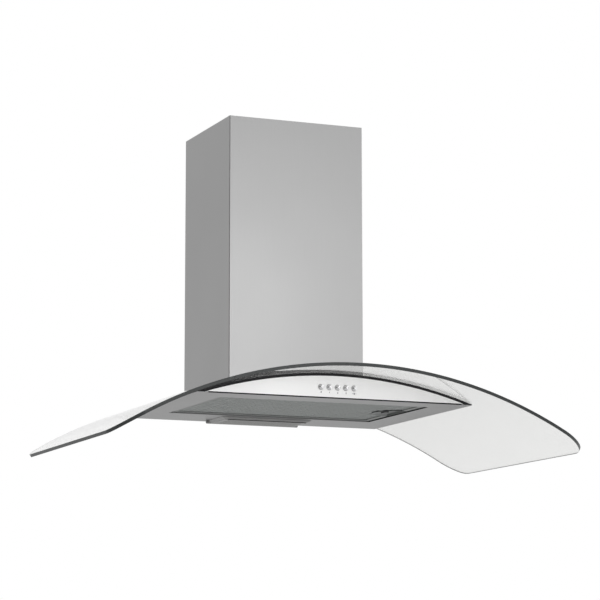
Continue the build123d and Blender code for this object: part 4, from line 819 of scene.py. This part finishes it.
class HOOD_OT_screws(bpy.types.Operator):
    """Sink a cross recess into the heads of the screws"""

    bl_idname = "hood.screws"
    bl_label = "Screw recesses"

    def execute(self, context):
        sizes = context.scene.hood_sizes
        for node, body in (
            ("blower_screws", "hood"), ("switch_screws", "hood"),
            ("chimney_screws", "hood"), ("bracket_screws", "chimney_section"),
        ):
            bm = merged_copy(node)
            for head in self.heads(bm):
                self.sink(bm, head, sizes)
            piece = finish_piece(bm, node + "_recessed", body, "zinc_fastener_finish", [node])
        return {"FINISHED"}

    def heads(self, bm):
        """The largest flat face of each screw."""
        seen, heads = set(), []
        for start in bm.faces[:]:
            screw, stack = [], [start]
            while stack:
                face = stack.pop()
                if face not in seen:
                    seen.add(face)
                    screw.append(face)
                    stack += [other for edge in face.edges for other in edge.link_faces]
            if screw:
                heads.append(max(screw, key=lambda face: face.calc_area()))
        return heads

    def sink(self, bm, head, sizes):
        """Cuts the cross out of the head's face and pushes it in."""
        centre, normal = head.calc_center_bounds(), head.normal.copy()
        first = normal.orthogonal().normalized()
        second = normal.cross(first)
        reach, half = sizes.recess_reach, sizes.recess_half
        geom = [head, *head.edges, *head.verts]
        for direction in (first, second):
            for offset in (-reach, -half, half, reach):
                geom = bmesh.ops.bisect_plane(
                    bm, geom=geom, dist=1e-7, plane_co=centre + direction * offset,
                    plane_no=direction
                )["geom"]
        cross = []
        for face in geom:
            if isinstance(face, bmesh.types.BMFace):
                place = face.calc_center_median() - centre
                short, long = sorted((abs(place.dot(first)), abs(place.dot(second))))
                if short < half and long < reach:
                    cross.append(face)
        if not cross:
            raise RuntimeError("a screw head has no room for its recess")
        push_out(bm, cross, -normal * sizes.recess_depth)
        lids = [face for face in cross if face.is_valid]
        bmesh.ops.delete(bm, geom=lids, context="FACES_ONLY")
        loose = [edge for edge in bm.edges if not edge.link_faces]
        bmesh.ops.delete(bm, geom=loose, context="EDGES")


class HOOD_OT_lamp_ribs(bpy.types.Operator):
    """Mould the fine ribs on the lamp cover and lay a black rod along its front, as painted shade
    of the gap there
    """

    bl_idname = "hood.lamp_ribs"
    bl_label = "Lamp cover ribs"

    def execute(self, context):
        sizes = context.scene.hood_sizes
        low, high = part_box("lamp_cover")
        edge, face_z, flatten = 12.0 * MM, -5.5 * MM, 1.6
        radius = sizes.rib_depth * flatten
        first, last = low.y + edge, high.y - edge
        bm = bmesh.new()
        for number in range(int((last - first) / sizes.rib_pitch)):
            y = first + (number + 0.5) * sizes.rib_pitch
            for vert in rod(bm, y, face_z, radius, 2 * sizes.cover_half - edge, 12):
                vert.co.z = face_z + (vert.co.z - face_z) / flatten
        ribs = finish_piece(bm, "lamp_cover_ribs", "lamp_door", "lamp_diffuser_finish")
        soften(ribs, 0.1 * MM, segments=1)
        # A black rod along the cover's front edge: painted shade of the gap between the cover and
        # the pan.
        bm = bmesh.new()
        half = sizes.cover_half - 1.5 * MM
        rod(bm, low.y + 0.2 * MM, face_z + 0.5 * MM, 0.7 * MM, 2 * half, 16)
        shade_line = finish_piece(bm, "lamp_cover_shade_line", "lamp_door", "black_seal_finish")
        soften(shade_line, 0.2 * MM, segments=1)
        return {"FINISHED"}


class HOOD_OT_strips(bpy.types.Operator):
    """Lay the black strips round the filter's opening and under the fascia, as painted shade of the
    gaps there
    """

    bl_idname = "hood.strips"
    bl_label = "Opening strips"

    def execute(self, context):
        sizes = context.scene.hood_sizes
        low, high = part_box("filter_frame")
        gap, thick = sizes.filter_gap, sizes.strip
        foot = sizes.pan_level
        lift = 0.15 * MM
        # A black ring round the filter's opening: painted shade of the gap between the filter and
        # the pan.
        bm = bmesh.new()
        outer = self.loop(bm, low, high, gap - 0.05 * MM, foot + lift)
        inner = self.loop(bm, low, high, gap - thick, foot + lift)
        ring = bmesh.ops.bridge_loops(bm, edges=outer + inner)["faces"]
        self.raise_faces(bm, ring, sizes.strip_height)
        gap_shade_strip = finish_piece(bm, "filter_gap_shade_strip", "hood", "black_seal_finish")
        soften(gap_shade_strip, 0.15 * MM)
        # A black strip under the fascia: painted shade of the gap between the fascia and the pan.
        lift = 0.2 * MM
        bm = bmesh.new()
        place = Matrix.Translation((0, FASCIA_LOW.y + 1.0 * MM, foot + lift))
        face = flat_rectangle(bm, place, 2 * (FASCIA_HIGH.x - 3.0 * MM), thick)
        self.raise_faces(bm, [face], FASCIA_LOW.z - foot - lift)
        foot_shade_strip = finish_piece(bm, "fascia_foot_shade_strip", "hood", "black_seal_finish")
        soften(foot_shade_strip, 0.15 * MM)
        return {"FINISHED"}

    def loop(self, bm, low, high, grow, level):
        """The edges of a rectangle that lies this far round the filter."""
        place = Matrix.Translation(((low.x + high.x) / 2, (low.y + high.y) / 2, level))
        face = flat_rectangle(
            bm, place, high.x - low.x + 2 * grow, high.y - low.y + 2 * grow
        )
        edges = face.edges[:]
        bmesh.ops.delete(bm, geom=[face], context="FACES_ONLY")
        return edges

    def raise_faces(self, bm, faces, height):
        """Makes flat faces a closed solid this high."""
        push_out(bm, faces, (0, 0, height), keep=True)
        bmesh.ops.recalc_face_normals(bm, faces=bm.faces)


class HOOD_OT_softened_frame(bpy.types.Operator):
    """Give the filter frame, lamp cover and other folded pieces soft edges"""

    bl_idname = "hood.softened_frame"
    bl_label = "Softened pieces"

    def execute(self, context):
        for node, body, slot, finish, width in (
            ("filter_frame", "grease_filter", "filter_aluminium", "filter_rim_finish", 0.4),
            ("filter_cup", "grease_filter", "filter_aluminium", "filter_cup_finish", 0.3),
            ("filter_latch", "filter_catch", "black_plastic", "black_plastic_finish", 0.4),
            ("lamp_cover", "lamp_door", "lamp_diffuser", "lamp_diffuser_finish", 0.5),
        ):
            bm = merged_copy(node)
            if node == "lamp_cover":
                self.slope_ends(bm, context.scene.hood_sizes)
            piece = finish_piece(bm, node + "_soft", body, finish, [node])
            soften(piece, width * MM)
        return {"FINISHED"}

    def slope_ends(self, bm, sizes):
        """Draws the two ends of the lamp cover in towards its lower face, up to its barrel."""
        low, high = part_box("lamp_cover")
        barrel = high.y + low.z
        for vert in bm.verts:
            if abs(vert.co.x) > sizes.cover_half and vert.co.y < barrel:
                inward = (abs(vert.co.x) - sizes.cover_half) * min(1.0, vert.co.z / low.z)
                vert.co.x -= inward if vert.co.x > 0 else -inward


# ---------------------------------------------------------------- stage


class HOOD_OT_stage(bpy.types.Operator):
    """Set the pale floor, soft studio light and the camera"""

    bl_idname = "hood.stage"
    bl_label = "Stage"

    def execute(self, context):
        studio = context.scene.hood_studio
        self.make_camera(context.scene, studio)
        self.make_world(context.scene, studio)
        self.make_floor(studio)
        self.make_lights(context.scene)
        context.scene.view_settings.view_transform = "Standard"
        return {"FINISHED"}

    def make_camera(self, scene, studio):
        """Camera at the view of the reference."""
        data = bpy.data.cameras.new("camera")
        data.lens = studio.camera_lens
        data.sensor_width = 36.0
        data.shift_x = studio.camera_shift
        camera = bpy.data.objects.new("camera", data)
        camera.location = studio.camera_place
        camera.rotation_euler = (pi / 2 + studio.camera_pitch, 0, -studio.camera_turn)
        scene.collection.objects.link(camera)
        scene.camera = camera

    def make_world(self, scene, studio):
        """White to the camera and through glass, a soft room in metal, even light elsewhere."""
        world = bpy.data.worlds.new("studio")
        scene.world = world
        world.use_nodes = True
        tree = world.node_tree
        tree.nodes.clear()
        path = add_node(tree, "LightPath").outputs
        ray = add_node(tree, "TexCoord").outputs["Generated"]
        front = self.facing(tree, ray, (0.45, -0.88, 0.10), -0.55, 0.95)
        glow = span(tree, front, 0.0, 1.0, studio.rear_glow, studio.front_glow)
        backdrop = self.facing(tree, ray, (0.37, 0.91, 0.14), 0.93, 0.99)
        glow = span(tree, backdrop, 0.0, 1.0, glow, studio.backdrop_glow)
        right = self.facing(tree, ray, (0.95, -0.25, 0.15), 0.55, 0.90)
        glow = math_node(tree, "ADD", glow, math_node(tree, "MULTIPLY", right, 0.65))
        side = math_node(
            tree, "MULTIPLY", self.facing(tree, ray, (-0.97, -0.25, 0.08), 0.62, 0.82),
            self.facing(tree, ray, (0, 0, 1), -0.42, -0.18)
        )
        glow = math_node(tree, "MULTIPLY", glow, span(tree, side, 0.0, 1.0, 1.0, 0.05))
        shades = [
            add_node(tree, "Background", {"Strength": strength, "Color": (1, 1, 1, 1)}).outputs[0]
            for strength in (studio.ambient, glow, 1.0)
        ]
        reflected = math_node(tree, "GREATER_THAN", path["Glossy Depth"], 0.5)
        room = mixed(tree, reflected, shades[0], shades[1])
        seen = self.straight_view(tree, path)
        add_node(tree, "OutputWorld", {"Surface": mixed(tree, seen, room, shades[2])})

    def straight_view(self, tree, path):
        """One for rays from the camera, also through glass, and zero once metal reflects them."""
        direct = math_node(tree, "LESS_THAN", path["Glossy Depth"], 0.5)
        through = math_node(tree, "MULTIPLY", path["Is Transmission Ray"], direct)
        return math_node(tree, "MAXIMUM", path["Is Camera Ray"], through)

    def facing(self, tree, ray, direction, low, high):
        """How far a ray goes this way, from 0 at low to 1 at high."""
        inputs = {0: ray, 1: Vector(direction).normalized()}
        dot = add_node(tree, "VectorMath", inputs, operation="DOT_PRODUCT")
        return span(tree, dot.outputs["Value"], low, high, 0.0, 1.0)

    def make_floor(self, studio):
        """Pale floor, far below, that fades into the white and can't be seen from under it."""
        bm = bmesh.new()
        bmesh.ops.create_circle(
            bm, cap_ends=True, segments=96, radius=7.0,
            matrix=Matrix.Translation((0, -0.3, studio.floor_level))
        )
        mesh = bpy.data.meshes.new("studio_floor")
        bm.to_mesh(mesh)
        bm.free()
        floor = bpy.data.objects.new("studio_floor", mesh)
        bpy.context.scene.collection.objects.link(floor)
        floor.visible_glossy = False
        tree, shader, place = start_material("studio_floor_paint")
        feed(shader, {"Base Color": (0.90, 0.90, 0.90, 1.0), "Roughness": 0.9})
        distance = add_node(tree, "VectorMath", {0: place}, operation="LENGTH").outputs["Value"]
        fade = span(tree, distance, 2.2, 6.0, 0.0, 1.0)
        seen = self.straight_view(tree, add_node(tree, "LightPath").outputs)
        white = add_node(tree, "Emission", {"Strength": 1.0}).outputs["Emission"]
        far = mixed(
            tree, math_node(tree, "MULTIPLY", fade, seen), shader.outputs["BSDF"], white
        )
        under = add_node(tree, "NewGeometry").outputs["Backfacing"]
        clear = add_node(tree, "BsdfTransparent").outputs["BSDF"]
        feed(tree.nodes["Material Output"], {"Surface": mixed(tree, under, far, clear)})
        mesh.materials.append(bpy.data.materials["studio_floor_paint"])

    def make_lights(self, scene):
        """Soft boxes: one in front, one on each side and one below."""
        for name, place, aim, size, power, in_metal in (
            ("front_box", (0.55, -2.5, 0.45), (-0.2, -0.24, 0.15), 0.9, 2.9, True),
            ("left_box", (-2.6, -1.2, 1.6), (0, -0.2, 0.1), 1.6, 4.0, False),
            ("right_box", (2.6, -0.9, 1.8), (0, -0.2, 0.1), 1.6, 5.0, False),
            ("low_box", (-0.4, -1.2, -1.4), (0, -0.25, 0.0), 1.4, 0.6, False),
        ):
            data = bpy.data.lights.new(name, "AREA")
            data.shape = "DISK"
            data.size = size
            data.energy = power
            lamp = bpy.data.objects.new(name, data)
            lamp.location = place
            lamp.visible_glossy = in_metal
            lamp.rotation_euler = (Vector(aim) - Vector(place)).to_track_quat("-Z", "Y").to_euler()
            scene.collection.objects.link(lamp)


class HOOD_PT_panel(bpy.types.Panel):
    """Lists the hood's settings and steps"""

    bl_label = "Glass Hood"
    bl_idname = "HOOD_PT_panel"
    bl_space_type = "VIEW_3D"
    bl_region_type = "UI"
    bl_category = "Hood"

    def draw(self, context):
        for settings in ("hood_finishes", "hood_sizes", "hood_studio"):
            box = self.layout.box()
            holder = getattr(context.scene, settings)
            for name in holder.__annotations__:
                box.prop(holder, name)
        for step in STEPS:
            self.layout.operator(step.bl_idname)


SETTINGS = (
    ("hood_finishes", HoodFinishes),
    ("hood_sizes", HoodSizes),
    ("hood_studio", HoodStudio),
)
STEPS = (
    HOOD_OT_materials,
    HOOD_OT_glass,
    HOOD_OT_chimney,
    HOOD_OT_buttons,
    HOOD_OT_glass_bolts,
    HOOD_OT_filter_mesh,
    HOOD_OT_screws,
    HOOD_OT_lamp_ribs,
    HOOD_OT_strips,
    HOOD_OT_softened_frame,
    HOOD_OT_stage,
)


def register():
    """Registers the settings, the steps and the panel."""
    for name, settings in SETTINGS:
        bpy.utils.register_class(settings)
        setattr(bpy.types.Scene, name, PointerProperty(type=settings))
    for step in (*STEPS, HOOD_PT_panel):
        bpy.utils.register_class(step)


def unregister():
    """Takes them away again."""
    for step in reversed((*STEPS, HOOD_PT_panel)):
        bpy.utils.unregister_class(step)
    for name, settings in reversed(SETTINGS):
        delattr(bpy.types.Scene, name)
        bpy.utils.unregister_class(settings)


def main():
    """Dresses the frame step by step."""
    register()
    bpy.ops.hood.materials()
    bpy.ops.hood.glass()
    bpy.ops.hood.chimney()
    bpy.ops.hood.buttons()
    bpy.ops.hood.glass_bolts()
    bpy.ops.hood.filter_mesh()
    bpy.ops.hood.screws()
    bpy.ops.hood.lamp_ribs()
    bpy.ops.hood.strips()
    bpy.ops.hood.softened_frame()
    bpy.ops.hood.stage()
    bpy.context.view_layer.update()


if __name__ == "__main__":
    main()
